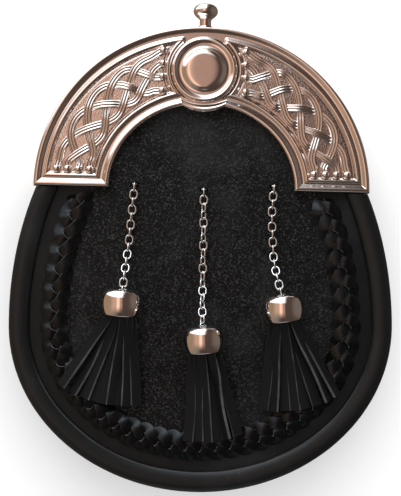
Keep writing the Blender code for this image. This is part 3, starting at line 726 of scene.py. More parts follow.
def pouch_edge(angle, inset=0.0):
    """The pouch's outline at an angle (0 right, 90 degrees up), moved inwards."""
    height = POUCH_ABOVE if sin(angle) > 0 else POUCH_BELOW
    edge = Vector((POUCH_HALF_WIDTH * cos(angle), height * sin(angle)))
    inwards = -Vector((height * cos(angle), POUCH_HALF_WIDTH * sin(angle))).normalized()
    return edge + inset * inwards


def side_angle(height):
    return asin(height / POUCH_ABOVE)


def round_the_pouch(top, count):
    """Angles from the left side at a height, past the bottom, to the right side."""
    rise = side_angle(top)
    return steps_between(pi - rise, 2 * pi + rise, count)


def swept_round(section, overrun, steps, sway=0.0, marks=None):
    """A section of (inset, level) swept round the pouch, past the cantle's base by the overrun.

    Its inner points sway a little, as handwork does.
    """
    rings = []
    for angle in round_the_pouch(CANTLE_BASE + overrun, steps):
        edge = pouch_edge(angle)
        drift = sway * noise.noise(Vector((edge.x, edge.y, 0)) * SWAY_SCALE)
        rings.append([Vector((*pouch_edge(angle, inset + (drift if inset > MM else 0.0)), level))
                      for inset, level in section])
    return skin(new_shape(), rings, marks)


def panel_outline():
    """The leather's outline: the pouch up to the cantle, then the arch inside the cantle's edge."""
    left = side_angle(base_line(-CANTLE_HALF_WIDTH) - GAP)
    right = side_angle(base_line(CANTLE_HALF_WIDTH) - GAP)
    angles = steps_between(pi - left, 2 * pi + right, PANEL_EDGE_STEPS)
    below = [pouch_edge(angle, RIM_COVER) for angle in angles]
    inner = cantle_in_pouch()
    above = []
    for turn in steps_between(PANEL_ARCH_END, -PANEL_ARCH_END, PANEL_ARCH_STEPS):
        above.append((inner @ Vector((*arch_edge(turn, PANEL_INSET), 0.0))).xy)
    return below + above


def base_line(x):
    return CANTLE_BASE - tan(CANTLE_TILT) * (x - CANTLE_SHIFT)


def inset_of(point):
    """About how far a point lies inside the pouch's outline."""
    height = POUCH_ABOVE if point.y > 0 else POUCH_BELOW
    across = point.x / POUCH_HALF_WIDTH
    along = point.y / height
    share = max(sqrt(across**2 + along**2), 0.001)
    slope = sqrt((across / POUCH_HALF_WIDTH) ** 2 + (along / height) ** 2) / share
    return (1 - share) / max(slope, 0.001)


def leather_plate(low, high, ripple):
    """A panel: its upper face carries a slight ripple, and its mark is 1 inside the braid."""
    outline = panel_outline()
    rings = []
    for share in steps_between(0.0, 1.0, PANEL_RINGS):
        ring = []
        for point in outline:
            spot = blend(PANEL_MIDDLE, point, share)
            wave = noise.noise(Vector((*spot, 0.0)) * RIPPLE_SCALE)
            ring.append(Vector((*spot, high + wave * ripple * (1 - share**6))))
        rings.append(ring)
    rings.append([Vector((*point, low)) for point in outline])
    rings.append([Vector((*PANEL_MIDDLE, low)) for _ in outline])
    return skin(new_shape(), rings, capped=False, marks=lambda point: eased(
        inset_of(point), BRAID_INSET - MM, BRAID_INSET + 2 * MM))


def cut_slots(piece):
    """Cuts the staples' slots through the front panel."""
    cutter = bmesh.new()
    for tassel in TASSELS.values():
        x, y = (value * MM for value in tassel["chain"][0])
        size = Matrix.Diagonal((SLOT_LENGTH, SLOT_WIDTH, CUTTER_DEPTH, 1.0))
        place = pouch_place() @ Matrix.Translation((x, y, FRONT_FACE)) @ size
        bmesh.ops.create_cube(cutter, size=1.0, matrix=place)
    cut_by(piece, cutter)


def cut_bore(piece):
    """Cuts the way for the knob's stem through the cantle's skirt."""
    cutter = bmesh.new()
    radius = STEM_RADIUS + GAP
    place = Matrix.Translation((0, CANTLE_HEIGHT, KNOB_LEVEL)) @ Matrix.Rotation(pi / 2, 4, "X")
    bmesh.ops.create_cone(cutter, cap_ends=True, segments=BORE_STEPS, radius1=radius,
                          radius2=radius, depth=CUTTER_DEPTH,
                          matrix=pouch_place() @ cantle_in_pouch() @ place)
    cut_by(piece, cutter)


def cut_by(piece, cutter):
    """Takes a cutter's shape out of a piece."""
    tool = as_object("cutter", cutter)
    modifier = piece.modifiers.new("cut", "BOOLEAN")
    modifier.operation = "DIFFERENCE"
    modifier.object = tool
    bpy.context.view_layer.update()
    evaluated = piece.evaluated_get(bpy.context.evaluated_depsgraph_get())
    result = bpy.data.meshes.new_from_object(evaluated)
    piece.modifiers.remove(modifier)
    piece.data = result
    bpy.data.objects.remove(tool)


class FrontLeather(bpy.types.Operator):
    """Front leather: the pebbled panel with its chain slots, and the rolled rim round it"""

    bl_idname = "sporran.front_leather"
    bl_label = "Front leather"

    def execute(self, context):
        shape = leather_plate(FRONT_FACE - LEATHER, FRONT_FACE, FRONT_RIPPLE)
        panel = finished("front_leather", shape, pebbled_leather, "front_panel",
                         sharp=50)
        cut_slots(panel)
        table = [
            (0.7, -2.6), (0.12, -1.4), (0.0, -0.2), (0.2, 1.0), (0.7, 2.0), (1.6, 2.9), (2.6, 3.4),
            (3.8, 3.6), (5.2, 3.5), (6.6, 3.2), (7.7, 2.85), (8.4, 2.45), (8.9, 1.9), (9.15, 1.2),
            (9.3, 0.2), (9.3, -0.6), (8.6, -2.6),
        ]
        crest = max(level for _, level in table)
        rise = context.scene.sporran_leather.rim_rise / crest
        section = [(inset * MM, FRONT_FACE + level * rise) for inset, level in table]
        # The rim's inner edge: the point that carries the painted highlight line low on the pouch.
        rubbed = (8.9, 1.9)
        marks = [float(point == rubbed) for point in table]
        rim = swept_round(section, RIM_OVERRUN, RIM_STEPS, RIM_SWAY, marks)
        trim_at_cantle(rim)
        finished("front_rim", rim, finished_leather, "front_panel", sharp=60)
        return {"FINISHED"}


class RearLeather(bpy.types.Operator):
    """Rear leather: the back panel, its rim, the gusset and the two belt loops"""

    bl_idname = "sporran.rear_leather"
    bl_label = "Rear leather"

    def execute(self, context):
        shape = leather_plate(REAR_FACE + LEATHER, REAR_FACE, BACK_RIPPLE)
        finished("back_leather", shape, finished_leather, "back_panel", sharp=50)
        table = [
            (0.7, 9.1), (0.15, 7.0), (0.0, 4.5), (0.1, 2.4), (0.6, 1.0), (1.5, 0.2), (2.6, 0.0),
            (6.6, 0.0), (7.8, 0.25), (8.7, 1.0), (9.25, 2.4), (9.3, 4.5), (9.1, 7.0), (8.8, 9.1),
        ]
        rim = swept_round(in_mm(table), RIM_OVERRUN, RIM_STEPS)
        trim_at_cantle(rim)
        finished("back_rim", rim, finished_leather, "back_panel", sharp=60)
        self.add_gusset()
        for side, name in ((-1, "left"), (1, "right")):
            self.add_loop(f"belt_strap_{name}", side * LOOP_X, f"belt_loop_{name}")
        return {"FINISHED"}

    def add_gusset(self):
        """The bowed strip between the two rims, with a welt beside each of them."""
        low, high, thick = 9.4, 23.1, 2.0
        outer = [(3.0, low), (3.05, low + 1.4), (3.5, low + 1.9), (4.4, low + 3.6),
                 (5.2, low + 5.4), (5.5, (low + high) / 2)]
        outer += [(inset, low + high - level) for inset, level in outer[-2::-1]]
        table = outer + [(inset + thick, level) for inset, level in outer[::-1]]
        shape = swept_round(in_mm(table), GUSSET_OVERRUN, GUSSET_STEPS, GUSSET_SWAY)
        finished("side_gusset", shape, finished_leather, "gusset", sharp=60)

    def add_loop(self, name, x, node):
        """A strap with two stitched pads and a standing bridge between them."""
        half = LOOP_SPAN / 2
        end = half + LOOP_PAD
        pad = REAR_FACE - GAP - LOOP_THICKNESS / 2
        bridge = BRIDGE_LEVEL + LOOP_THICKNESS / 2
        corners = [(-end, pad), (-half - LOOP_LEAN, pad), (-half + LOOP_LEAN, bridge), (0, bridge),
                   (half - LOOP_LEAN, bridge), (half + LOOP_LEAN, pad), (end, pad)]
        corners = [Vector((x, LOOP_Y + along, level)) for along, level in corners]
        path = []
        for start, finish in zip(corners, corners[1:]):
            path += [blend(start, finish, share) for share in steps_between(0, 1, 8)[:-1]]
        path.append(corners[-1])
        for _ in range(3):
            path[1:-1] = [(before + here + after) / 3
                          for before, here, after in zip(path, path[1:], path[2:])]
        across, thick = LOOP_WIDTH / 2, LOOP_THICKNESS / 2
        outline = rounded([(-across, -thick), (across, -thick), (across, thick), (-across, thick)],
                          LOOP_ROUNDING)
        sideways = Vector((1, 0, 0))
        shape = skin(new_shape(), [section_at(point, sideways, sideways.cross(direction), outline)
                                   for point, direction in frames_along(path)])
        self.stitch_pads(shape, x, pad - thick)
        finished(name, shape, finished_leather, node)

    def stitch_pads(self, shape, x, level):
        """Adds a stitched square on each pad."""
        reach = LOOP_WIDTH / 2 - 1.8 * MM
        for side in (-1, 1):
            near = LOOP_Y + side * (LOOP_SPAN / 2 + 2.2 * MM)
            far = LOOP_Y + side * (LOOP_SPAN / 2 + LOOP_PAD - 1.6 * MM)
            corners = [(x - reach, near), (x + reach, near), (x + reach, far), (x - reach, far)]
            corners = [Vector((*corner, level)) for corner in corners]
            for start, finish in zip(corners, corners[1:] + corners[:1]):
                stitched(shape, start, finish)


def stitched(shape, start, finish):
    """Adds a row of short raised stitches along a straight seam on a rear face."""
    length = (finish - start).length
    count = max(1, round(length / STITCH_PITCH))
    direction = (finish - start).normalized()
    turn = direction.to_track_quat("X", "Z").to_matrix().to_4x4()
    share, width, height = STITCH_SIZE
    size = Matrix.Diagonal((length / count * share, width, height, 1.0))
    for index in range(count):
        middle = start + direction * length * (index + 0.5) / count
        place = Matrix.Translation(middle - UP * 0.02 * MM) @ turn
        bmesh.ops.create_icosphere(shape, subdivisions=2, radius=1.0, matrix=place @ size)


# ---------------------------------------------------------------- braid

def braid_path():
    """Points along the braid from the right side, past the bottom, to the left side."""
    angles = round_the_pouch(CANTLE_BASE + BRAID_OVERRUN, BRAID_STEPS)[::-1]
    return [Vector((*pouch_edge(angle, BRAID_INSET), 0.0)) for angle in angles], angles


def plait_turns(path, angles, look):
    """How far the plait has turned at each point: it is pulled tighter round the bottom."""
    turns = [0.0]
    for start, end, angle in zip(path, path[1:], angles):
        length = blend(look.side_plait, look.base_plait, eased(-sin(angle), 0.25, 0.95))
        turns.append(turns[-1] + (end - start).length / length)
    return turns


def lace_outline(width, thickness):
    """A lace's section: (across, up, mark), crowned on top, with pale cut edges."""
    half, flat = width / 2, thickness / 2
    top = [(side * half, flat * (1.25 - 0.5 * side * side), 0.0)
           for side in (-0.97, -0.6, 0.0, 0.6, 0.97)]
    bottom = [(-across, -flat * 0.8, 0.0) for across, _, _ in top]
    right = [(half, flat * 0.5, 1.0), (half * 1.01, 0.0, 1.0), (half, -flat * 0.5, 1.0)]
    left = [(-across, -up, mark) for across, up, mark in right]
    return top + right + bottom + left


class LacedBraid(bpy.types.Operator):
    """Three flat laces plaited round the pouch"""

    bl_idname = "sporran.laced_braid"
    bl_label = "Laced braid"

    def execute(self, context):
        look = context.scene.sporran_leather
        path, angles = braid_path()
        turns = plait_turns(path, angles, look)
        outline = lace_outline(look.lace_width, LACE_THICKNESS)
        shape = new_shape()
        for lace in range(3):
            spots = []
            rolls = []
            for (point, direction), turn in zip(frames_along(path), turns):
                phase = 2 * pi * (turn + lace / 3)
                across = LACE_REACH * sin(phase)
                level = BRAID_LEVEL + LACE_LIFT * sin(2 * phase) - LACE_DIVE * sin(phase) ** 4
                level -= LACE_TUCK * eased(point.y - base_line(point.x), *LACE_TUCK_SPAN)
                spots.append(point + direction.cross(UP) * across
                             + direction * LACE_SLANT * across + UP * level)
                rolls.append(LACE_ROLL * sin(phase))
            rings = []
            for (spot, along), roll in list(zip(frames_along(spots), rolls))[::3]:
                across = along.cross(UP).normalized()
                normal = across.cross(along)
                rings.append(section_at(spot, across * cos(roll) - normal * sin(roll),
                                        normal * cos(roll) + across * sin(roll), outline))
            skin(shape, rings, [mark for *_, mark in outline])
        trim_at_cantle(shape, BRAID_START)
        finished("laced_braid", shape, lace_leather, "braid", sharp=50)
        return {"FINISHED"}


# ---------------------------------------------------------------- cantle

def arch_inner(turn):
    """The arch's inner edge, with the round lobe below the boss."""
    x = ARCH_HALF_WIDTH * sin(turn)
    y = ARCH_HEIGHT * cos(turn)
    if abs(x) < LOBE_RADIUS:
        y = min(y, BOSS_HEIGHT - sqrt(LOBE_RADIUS**2 - x**2))
    return Vector((x, y))


def arch_outer(turn):
    return Vector((CANTLE_HALF_WIDTH * sin(turn), CANTLE_HEIGHT * cos(turn)))


def arch_edge(turn, inset=0.0):
    """A point of the arch, inset from its outer edge; turn 0 is its top, 90 its right end."""
    outer = arch_outer(turn)
    return outer + (arch_inner(turn) - outer).normalized() * inset


def inside_frame(point, inset, width):
    """How far a point of the plate lies inside the bead round its knot; negative outside."""
    from_boss = (point - Vector((0, BOSS_HEIGHT))).length - SIDE_ARC_RADIUS
    return min(inset - OUTER_FRAME, width - inset - INNER_FRAME, point.y - BASE_FRAME, from_boss)


def plate_rise(point, inset, width, look):
    """The plate's relief: a rolled edge all round it, a cove, and a bead round each knot."""
    edge = min(inset, width - inset, point.y)
    narrow = eased(point.y - 2 * inset, *NARROWING)
    crest = blend(EDGE_CREST, NARROW_CREST, narrow)
    if edge < crest:
        share = max(edge, 0.0) / crest
        roll = blend(-EDGE_DROP, look.edge_bead, sqrt(max(1 - (1 - share) ** 2, 0.0)))
    else:
        roll = look.edge_bead * (1 - eased(edge, crest, blend(EDGE_FOOT, NARROW_FOOT, narrow)))
    inside = inside_frame(point, inset, width)
    bead = look.frame_bead * humped(inside, BEAD_HALF)
    groove = GROOVE_DEPTH * humped(inside - BEAD_HALF, GROOVE_HALF)
    plain = 1 - eased(abs(point.x), *PLAIN_BAND)
    plain *= eased(point.y, BOSS_HEIGHT, BOSS_HEIGHT + PLAIN_RISE)
    return roll + (bead - groove) * (1 - plain)


def knot_point(side, share, reach):
    """A point of one knot: share runs from the base to the boss, reach from inside to outside."""
    inset = FIELD_MIDDLE - reach
    start = acos(KNOT_START / (CANTLE_HEIGHT - inset))
    end = asin(KNOT_END / (CANTLE_HALF_WIDTH - inset))
    return arch_edge(side * blend(start, end, share), inset)


def knot_turn(share):
    """How far the plait has turned: a quarter between two crossings in the panel's middle."""
    turn = 0.0
    for low, high in zip(KNOT_CROSSINGS, KNOT_CROSSINGS[1:]):
        turn += min(max((share - low) / (high - low), 0.0), 1.0) * pi / 2
    return turn + eased(share, KNOT_CROSSINGS[-1], 1.0) * (KNOT_LAST_TURN - turn)


def strand_reach(strand, share):
    """Where a strand lies across the panel, and how high it passes over or under."""
    turn = sum(knot_turn(share + shift) for shift in KNOT_SOFTENING) / len(KNOT_SOFTENING)
    phase = turn + strand * pi / 2
    weave = cos(4 * turn) * sin(phase) / max(abs(sin(phase)), 0.7)
    reach = KNOT_MIDDLE + KNOT_REACH * cos(phase)
    reach = blend(BASE_BALLS[strand], reach, eased(share, 0.0, BALL_PULL))
    return blend(BOSS_BALLS[strand], reach, eased(1 - share, 0.0, BALL_PULL)), weave


def strand_section():
    """From below the ground, up over three ridges, and down again; half width and rise are 1."""
    section = [(-1.0, -0.6)]
    for share in steps_between(-1.0, 1.0, 18):
        crown = sqrt(max(1 - abs(share) ** 5, 0.0))
        section.append((share * 0.99, crown * (0.82 + 0.18 * cos(3 * pi * share))))
    return section + [(1.0, -0.6)]


class CastCantle(bpy.types.Operator):
    """The cast plate: skirt, rolled edge and the beads that frame the knots"""

    bl_idname = "sporran.cast_cantle"
    bl_label = "Cast cantle"

    def execute(self, context):
        look = context.scene.sporran_metal
        marks = {}
        rings = [self.ring(turn, look, marks) for turn in self.turns()]
        shape = skin(new_shape(), rings, lambda point: marks.get(point.to_tuple(6), 0.0))
        casting = finished("cast_cantle", shape, cast_plating, "cantle",
                           place=cantle_in_pouch(), sharp=50)
        cut_bore(casting)
        return {"FINISHED"}

    def turns(self):
        """Turns from end to end, close together near the base and round the lobe's corners."""
        half = []
        for start, end, count in ((90.0, 82.0, 44), (82.0, 24.0, 150), (24.0, 0.0, 90)):
            half += steps_between(start, end, count)[:-1]
        return [radians(-turn) for turn in half] + [0.0] + [radians(turn) for turn in half[::-1]]

    def ring(self, turn, look, marks):
        """One closed section: the plate's face from outside to inside, then back underneath."""
        width = (arch_inner(turn) - arch_outer(turn)).length
        ring = []
        for inset in self.insets(width):
            point = arch_edge(turn, inset)
            level = FIELD_LEVEL + plate_rise(point, inset, width, look)
            spot = Vector((*point, level))
            marks[spot.to_tuple(6)] = eased(inside_frame(point, inset, width), *STIPPLED_FROM)
            ring.append(spot)
        low = FRONT_FACE + GAP
        under = low if arch_outer(turn).y < WALL else PLATE_UNDER
        back = ((width, low), (width - WALL, low), (width - WALL, under), (WALL, under),
                (WALL, FRAME_SPLIT), (0.0, FRAME_SPLIT))
        return ring + [Vector((*arch_edge(turn, inset), level)) for inset, level in back]

    def insets(self, width):
        """Places across the plate: close together over the beads."""
        edge = steps_between(0.0, BEAD_ZONE, 33)
        middle = steps_between(BEAD_ZONE, width - BEAD_ZONE, 50)
        return edge[:-1] + middle[:-1] + [width - inset for inset in edge[::-1]]


class KnotWork(bpy.types.Operator):
    """The raised knots: four ribbed strands on each side, each ended by a ball"""

    bl_idname = "sporran.knot_work"
    bl_label = "Knotwork"

    def execute(self, context):
        shape = new_shape()
        for side in (-1, 1):
            for strand in range(4):
                self.add_strand(shape, side, strand, context.scene.sporran_metal.strand_rise)
        finished("knotwork", shape, cast_plating, "cantle",
                 place=cantle_in_pouch(), sharp=60)
        return {"FINISHED"}

    def add_strand(self, shape, side, strand, rise):
        section = strand_section()
        ahead = 0.003
        rings = []
        for share in steps_between(0.0, 1.0, STRAND_STEPS):
            reach, weave = strand_reach(strand, share)
            here = knot_point(side, share, reach)
            near = knot_point(side, share + ahead, strand_reach(strand, share + ahead)[0])
            along = (near - here).normalized()
            across = Vector((along.y, -along.x)) * STRAND_HALF
            ring = []
            for offset, height in section:
                lift = STRAND_LIFT * weave if height > 0 else 0.0
                ring.append(Vector((*(here + across * offset), FIELD_LEVEL + height * rise + lift)))
            rings.append(ring)
        skin(shape, rings)
        for share in (0.0, 1.0):
            spot = knot_point(side, share, strand_reach(strand, share)[0])
            place = Matrix.Translation((*spot, FIELD_LEVEL + BALL_LIFT))
            bmesh.ops.create_uvsphere(shape, u_segments=28, v_segments=18, radius=BALL_RADIUS,
                                      matrix=place)


class CentreBoss(bpy.types.Operator):
    """The turned medallion: a flat dome in a dish with a rolled edge"""

    bl_idname = "sporran.centre_boss"
    bl_label = "Centre boss"

    def execute(self, context):
        way = [
            (0.0, 2.6), (3.0, 2.59), (5.4, 2.53), (7.0, 2.42), (7.9, 2.2), (8.5, 1.8), (9.2, 1.2),
            (9.8, 0.85), (10.4, 0.74), (11.2, 0.76), (11.9, 1.02), (12.5, 1.5), (13.0, 1.7),
            (13.5, 1.58), (14.0, 1.2), (14.35, 0.7), (14.5, 0.2),
        ]
        profile = smooth_profile(way, 0.22) + [(BOSS_RADIUS, 0.0), (0.0, 0.0)]
        place = Matrix.Translation((0, BOSS_HEIGHT, FIELD_LEVEL + 0.1 * MM + GAP))
        shape = turned(new_shape(), profile, BOSS_STEPS, place)
        finished("boss", shape, bright_plating, "centre_boss",
                 place=cantle_in_pouch())
        return {"FINISHED"}


class PressCatch(bpy.types.Operator):
    """The press knob and the flared collar that its stem slides through"""

    bl_idname = "sporran.press_catch"
    bl_label = "Press catch"

    def execute(self, context):
        stand = Matrix.Rotation(-pi / 2, 4, "X")
        way = [
            (0.0, 0.0), (2.0, -0.05), (3.4, -0.3), (4.5, -0.95), (5.2, -1.95), (5.45, -3.0),
            (5.25, -4.0), (4.5, -5.05), (3.5, -5.9), (2.85, -6.5), (2.6, -7.0), (2.55, -7.4),
        ]
        stem = [(STEM_RADIUS, -STEM_LENGTH), (0.0, -STEM_LENGTH)]
        place = Matrix.Translation((0, KNOB_TOP, KNOB_LEVEL)) @ stand
        knob = turned(new_shape(), smooth_profile(way, 0.3) + stem, CATCH_STEPS, place)
        finished("press_knob", knob, bright_plating, "catch_knob", body="knob",
                 place=cantle_in_pouch())
        outside = [(3.7, 0.0), (3.72, 0.25), (3.5, 0.5), (3.3, 0.8), (3.25, 1.05), (3.12, 1.2)]
        bore = STEM_RADIUS + GAP
        section = [(bore, 0.0), *in_mm(outside), (bore, outside[-1][1] * MM)]
        place = Matrix.Translation((0, CANTLE_HEIGHT + GAP, KNOB_LEVEL)) @ stand
        collar = turned(new_shape(), section, CATCH_STEPS, place, hollow=True)
        finished("knob_collar", collar, bright_plating, "catch_collar",
                 place=cantle_in_pouch())
        return {"FINISHED"}


class RearFrame(bpy.types.Operator):
    """The plain half frame behind the cantle, with the ledge that carries the back panel"""

    bl_idname = "sporran.rear_frame"
    bl_label = "Rear frame"

    def execute(self, context):
        high = FRAME_SPLIT - GAP
        ledge = REAR_FACE - GAP
        corner = 0.5 * MM
        section = [(0.0, corner), (0.0, high), (WALL, high), (WALL, ledge), (LEDGE_WIDTH, ledge),
                   (LEDGE_WIDTH, ledge - WALL), (WALL, ledge - WALL), (WALL, 0.0), (corner, 0.0)]
        rings = [[Vector((*arch_edge(turn, inset), level)) for inset, level in section]
                 for turn in steps_between(radians(-90), radians(90), REAR_FRAME_STEPS)]
        shape = skin(new_shape(), rings)
        finished("rear_half_frame", shape, bright_plating, "rear_frame",
                 place=cantle_in_pouch())
        return {"FINISHED"}


# ---------------------------------------------------------------- tassels

def cap_axes(tassel):
    """A cap's middle, its direction down the strips and its direction to the right."""
    lean = radians(tassel["lean"])
    x, y = (value * MM for value in tassel["cap"])
    centre = Vector((x, y, FRONT_FACE + GAP + CAP_RADIUS))
    return centre, Vector((sin(lean), -cos(lean), 0)), Vector((cos(lean), sin(lean), 0))


def cap_place(tassel):
    centre, down, right = cap_axes(tassel)
    return Matrix.Translation(centre) @ Matrix((-right, UP, -down)).transposed().to_4x4()


def chain_path(tassel):
    """From the staple's bridge, along the panel, rising into the cap."""
    centre, down, _ = cap_axes(tassel)
    entry = centre - down * CAP_HALF
    inside = centre - down * (CAP_HALF - CHAIN_IN_CAP)
    points = [Vector((x * MM, y * MM, 0)) for x, y in tassel["chain"]]
    points += [Vector((*entry.xy, 0)), Vector((*inside.xy, 0))]
    path = curve_through(points, CHAIN_STEP)
    for point in path:
        share = eased(point.y, entry.y, entry.y + CHAIN_RISE)
        point.z = blend(centre.z, FRONT_FACE + CHAIN_LEVEL, share)
    return path


def lying_along(direction, roll, spot):
    """Places something long along Y at a spot, rolled about its own length."""
    across = direction.cross(UP).normalized()
    normal = across.cross(direction)
    turn = Matrix((across, direction, normal)).transposed().to_4x4()
    return Matrix.Translation(spot) @ turn @ Matrix.Rotation(roll, 4, "Y")


def wire_ring(spot, across, up, count):
    """Points round the wire at a spot; across and up are square to it."""
    return [spot + (across * cos(spin) + up * sin(spin)) * LINK_WIRE / 2
            for spin in steps_between(0.0, 2 * pi, count)[:-1]]


def link_rings():
    """Rings of wire round one oval link in the XY plane, long along Y."""
    radius = (LINK_WIDTH - LINK_WIRE) / 2
    stretch = (LINK_LENGTH - LINK_WIRE) / 2 - radius
    rings = []
    for angle in steps_between(0.0, 2 * pi, LINK_STEPS)[:-1]:
        outwards = Vector((cos(angle), sin(angle), 0))
        centre = outwards * radius + Vector((0, stretch if sin(angle) > 0 else -stretch, 0))
        rings.append(wire_ring(centre, outwards, UP, LINK_WIRE_STEPS))
    return rings


class TasselChains(bpy.types.Operator):
    """Three chains of interlocked links, each on a wire staple"""

    bl_idname = "sporran.tassel_chains"
    bl_label = "Tassel chains"

    def execute(self, context):
        link = link_rings()
        start = LINK_LENGTH / 2 - 1.5 * LINK_WIRE + LINK_BITE
        for side, tassel in TASSELS.items():
            path = chain_path(tassel)
            shape = new_shape()
            for index, (spot, direction) in enumerate(spaced_spots(path, start, LINK_PITCH)):
                roll = pi / 2 if index == 0 else pi + radians(3 + tassel["twist"] * (index - 1))
                place = lying_along(direction, roll, spot)
                skin(shape, [[place @ point for point in ring] for ring in link], looped=True)
            self.add_staple(shape, path[0])
            finished(f"links_{side}", shape, wire_plating, f"chain_{side}", sharp=70)
        return {"FINISHED"}

    def add_staple(self, shape, spot):
        """A bent wire: its legs go through the slot and splay behind the leather."""
        back = FRONT_FACE - LEATHER - GAP - LINK_WIRE / 2
        top = FRONT_FACE + CHAIN_LEVEL
        corners = [Vector((spot.x + x, spot.y, z)) for x, z in (
            (-STAPLE_SPLAY, back), (-STAPLE_HALF, back), (-STAPLE_HALF, top),
            (STAPLE_HALF, top), (STAPLE_HALF, back), (STAPLE_SPLAY, back))]
        path = [corners[0]]
        for before, corner, after in zip(corners, corners[1:], corners[2:]):
            path += bend(before, corner, after, STAPLE_BEND, 5)
        path.append(corners[-1])
        across = Vector((0, 1, 0))
        skin(shape, [wire_ring(point, across, across.cross(direction), STAPLE_WIRE_STEPS)
                     for point, direction in frames_along(path)])


class TasselCaps(bpy.types.Operator):
    """The three rounded drums that gather the strips"""

    bl_idname = "sporran.tassel_caps"
    bl_label = "Tassel caps"

    def execute(self, context):
        outside = [
            (2.5, 4.9), (2.6, 5.5), (3.0, 5.78), (4.2, 5.8), (5.6, 5.74), (6.7, 5.42), (7.6, 4.8),
            (8.4, 3.8), (8.95, 2.4), (9.22, 0.8), (9.25, -0.6), (9.1, -2.2), (8.75, -3.8),
            (8.3, -5.1), (8.05, -5.55), (7.75, -5.78), (7.45, -5.7), (7.3, -5.4),
        ]
        inside = [(7.3, -3.0), (7.3, 3.2), (6.6, 4.4), (5.2, 4.75)]
        profile = smooth_profile(outside, 0.3) + in_mm(inside)
        for side, tassel in TASSELS.items():
            shape = turned(new_shape(), profile, CAP_STEPS, cap_place(tassel), hollow=True)
            finished(f"drum_{side}", shape, bright_plating, f"cap_{side}")
        return {"FINISHED"}


class TasselStrips(bpy.types.Operator):
    """The three fans of cut leather strips and the head that holds each"""

    bl_idname = "sporran.tassel_strips"
    bl_label = "Tassel strips"

    def execute(self, context):
        high, low = HEAD_SPAN
        head = [(0.0, high), (HEAD_RADIUS, high), (HEAD_RADIUS, low), (0.0, low)]
        for side, tassel in TASSELS.items():
            shape = turned(new_shape(), head, HEAD_STEPS, cap_place(tassel))
            for index in range(len(tassel["strips"])):
                self.add_strip(shape, tassel, index)
            finished(f"strips_{side}", shape, matt_strips, f"tassel_{side}",
                     sharp=50)
        return {"FINISHED"}

    def add_strip(self, shape, tassel, index):
        """One strip: out of the cap, over its lip, down to the leather and along it."""
        centre, down, right = cap_axes(tassel)
        heading, roll, width, height = tassel["strips"][index]
        first = tassel["strips"][0][0]
        last = max(row[0] for row in tassel["strips"])
        share = (heading - first) / (last - first)
        reach = Vector((sin(radians(heading)), -cos(radians(heading)), 0))
        across = right * blend(-STRIP_SPREAD, STRIP_SPREAD, share)
        lift = UP * (height - 0.5) * STRIP_STACK
        inside = centre + across * 0.9 + down * 1.5 * MM + lift
        lip = centre + across + down * 6.4 * MM + lift
        wander = noise.noise(Vector((heading, index * 3.7, 0.5)))
        end = centre + reach * STRIP_REACH * (1 + 0.012 * wander)
        end.z = STRIP_END_LEVEL + height * STRIP_FAN
        side = Vector((reach.y, -reach.x, 0))
        near = blend(lip, end, 0.3) + side * 0.5 * MM * wander
        near.z = blend(lip.z, end.z, 0.62)
        far = blend(lip, end, 0.65) - side * 0.7 * MM * wander
        far.z = blend(lip.z, end.z, 0.93)
        path = curve_through([inside, lip, near, far, end], STRIP_STEP)
        half, thick = width * MM / 2, STRIP_THICKNESS / 2
        outline = [
            (-0.9, 1.0, 0.0), (0.0, 1.05, 0.0), (0.9, 1.0, 0.0), (0.93, 0.85, 1.0),
            (1.0, 0.0, 1.0), (0.99, -0.85, 1.0), (0.95, -1.0, 0.0), (0.0, -1.0, 0.0),
            (-0.95, -1.0, 0.0), (-0.99, -0.85, 1.0), (-1.0, 0.0, 1.0), (-0.93, 0.85, 1.0),
        ]
        rings = []
        for number, (point, along) in enumerate(frames_along(path)):
            step = number / (len(path) - 1)
            lean = radians(roll) * eased(step, 0.05, 0.55)
            sideways = along.cross(UP).normalized()
            normal = sideways.cross(along)
            out = sideways * cos(lean) + normal * sin(lean)
            up = normal * cos(lean) - sideways * sin(lean)
            narrow = blend(0.72, 1.0, eased(step, 0.1, 0.6))
            rings.append(section_at(point, out * half * narrow, up * thick, outline))
        skin(shape, rings, [mark for *_, mark in outline])


# ---------------------------------------------------------------- studio

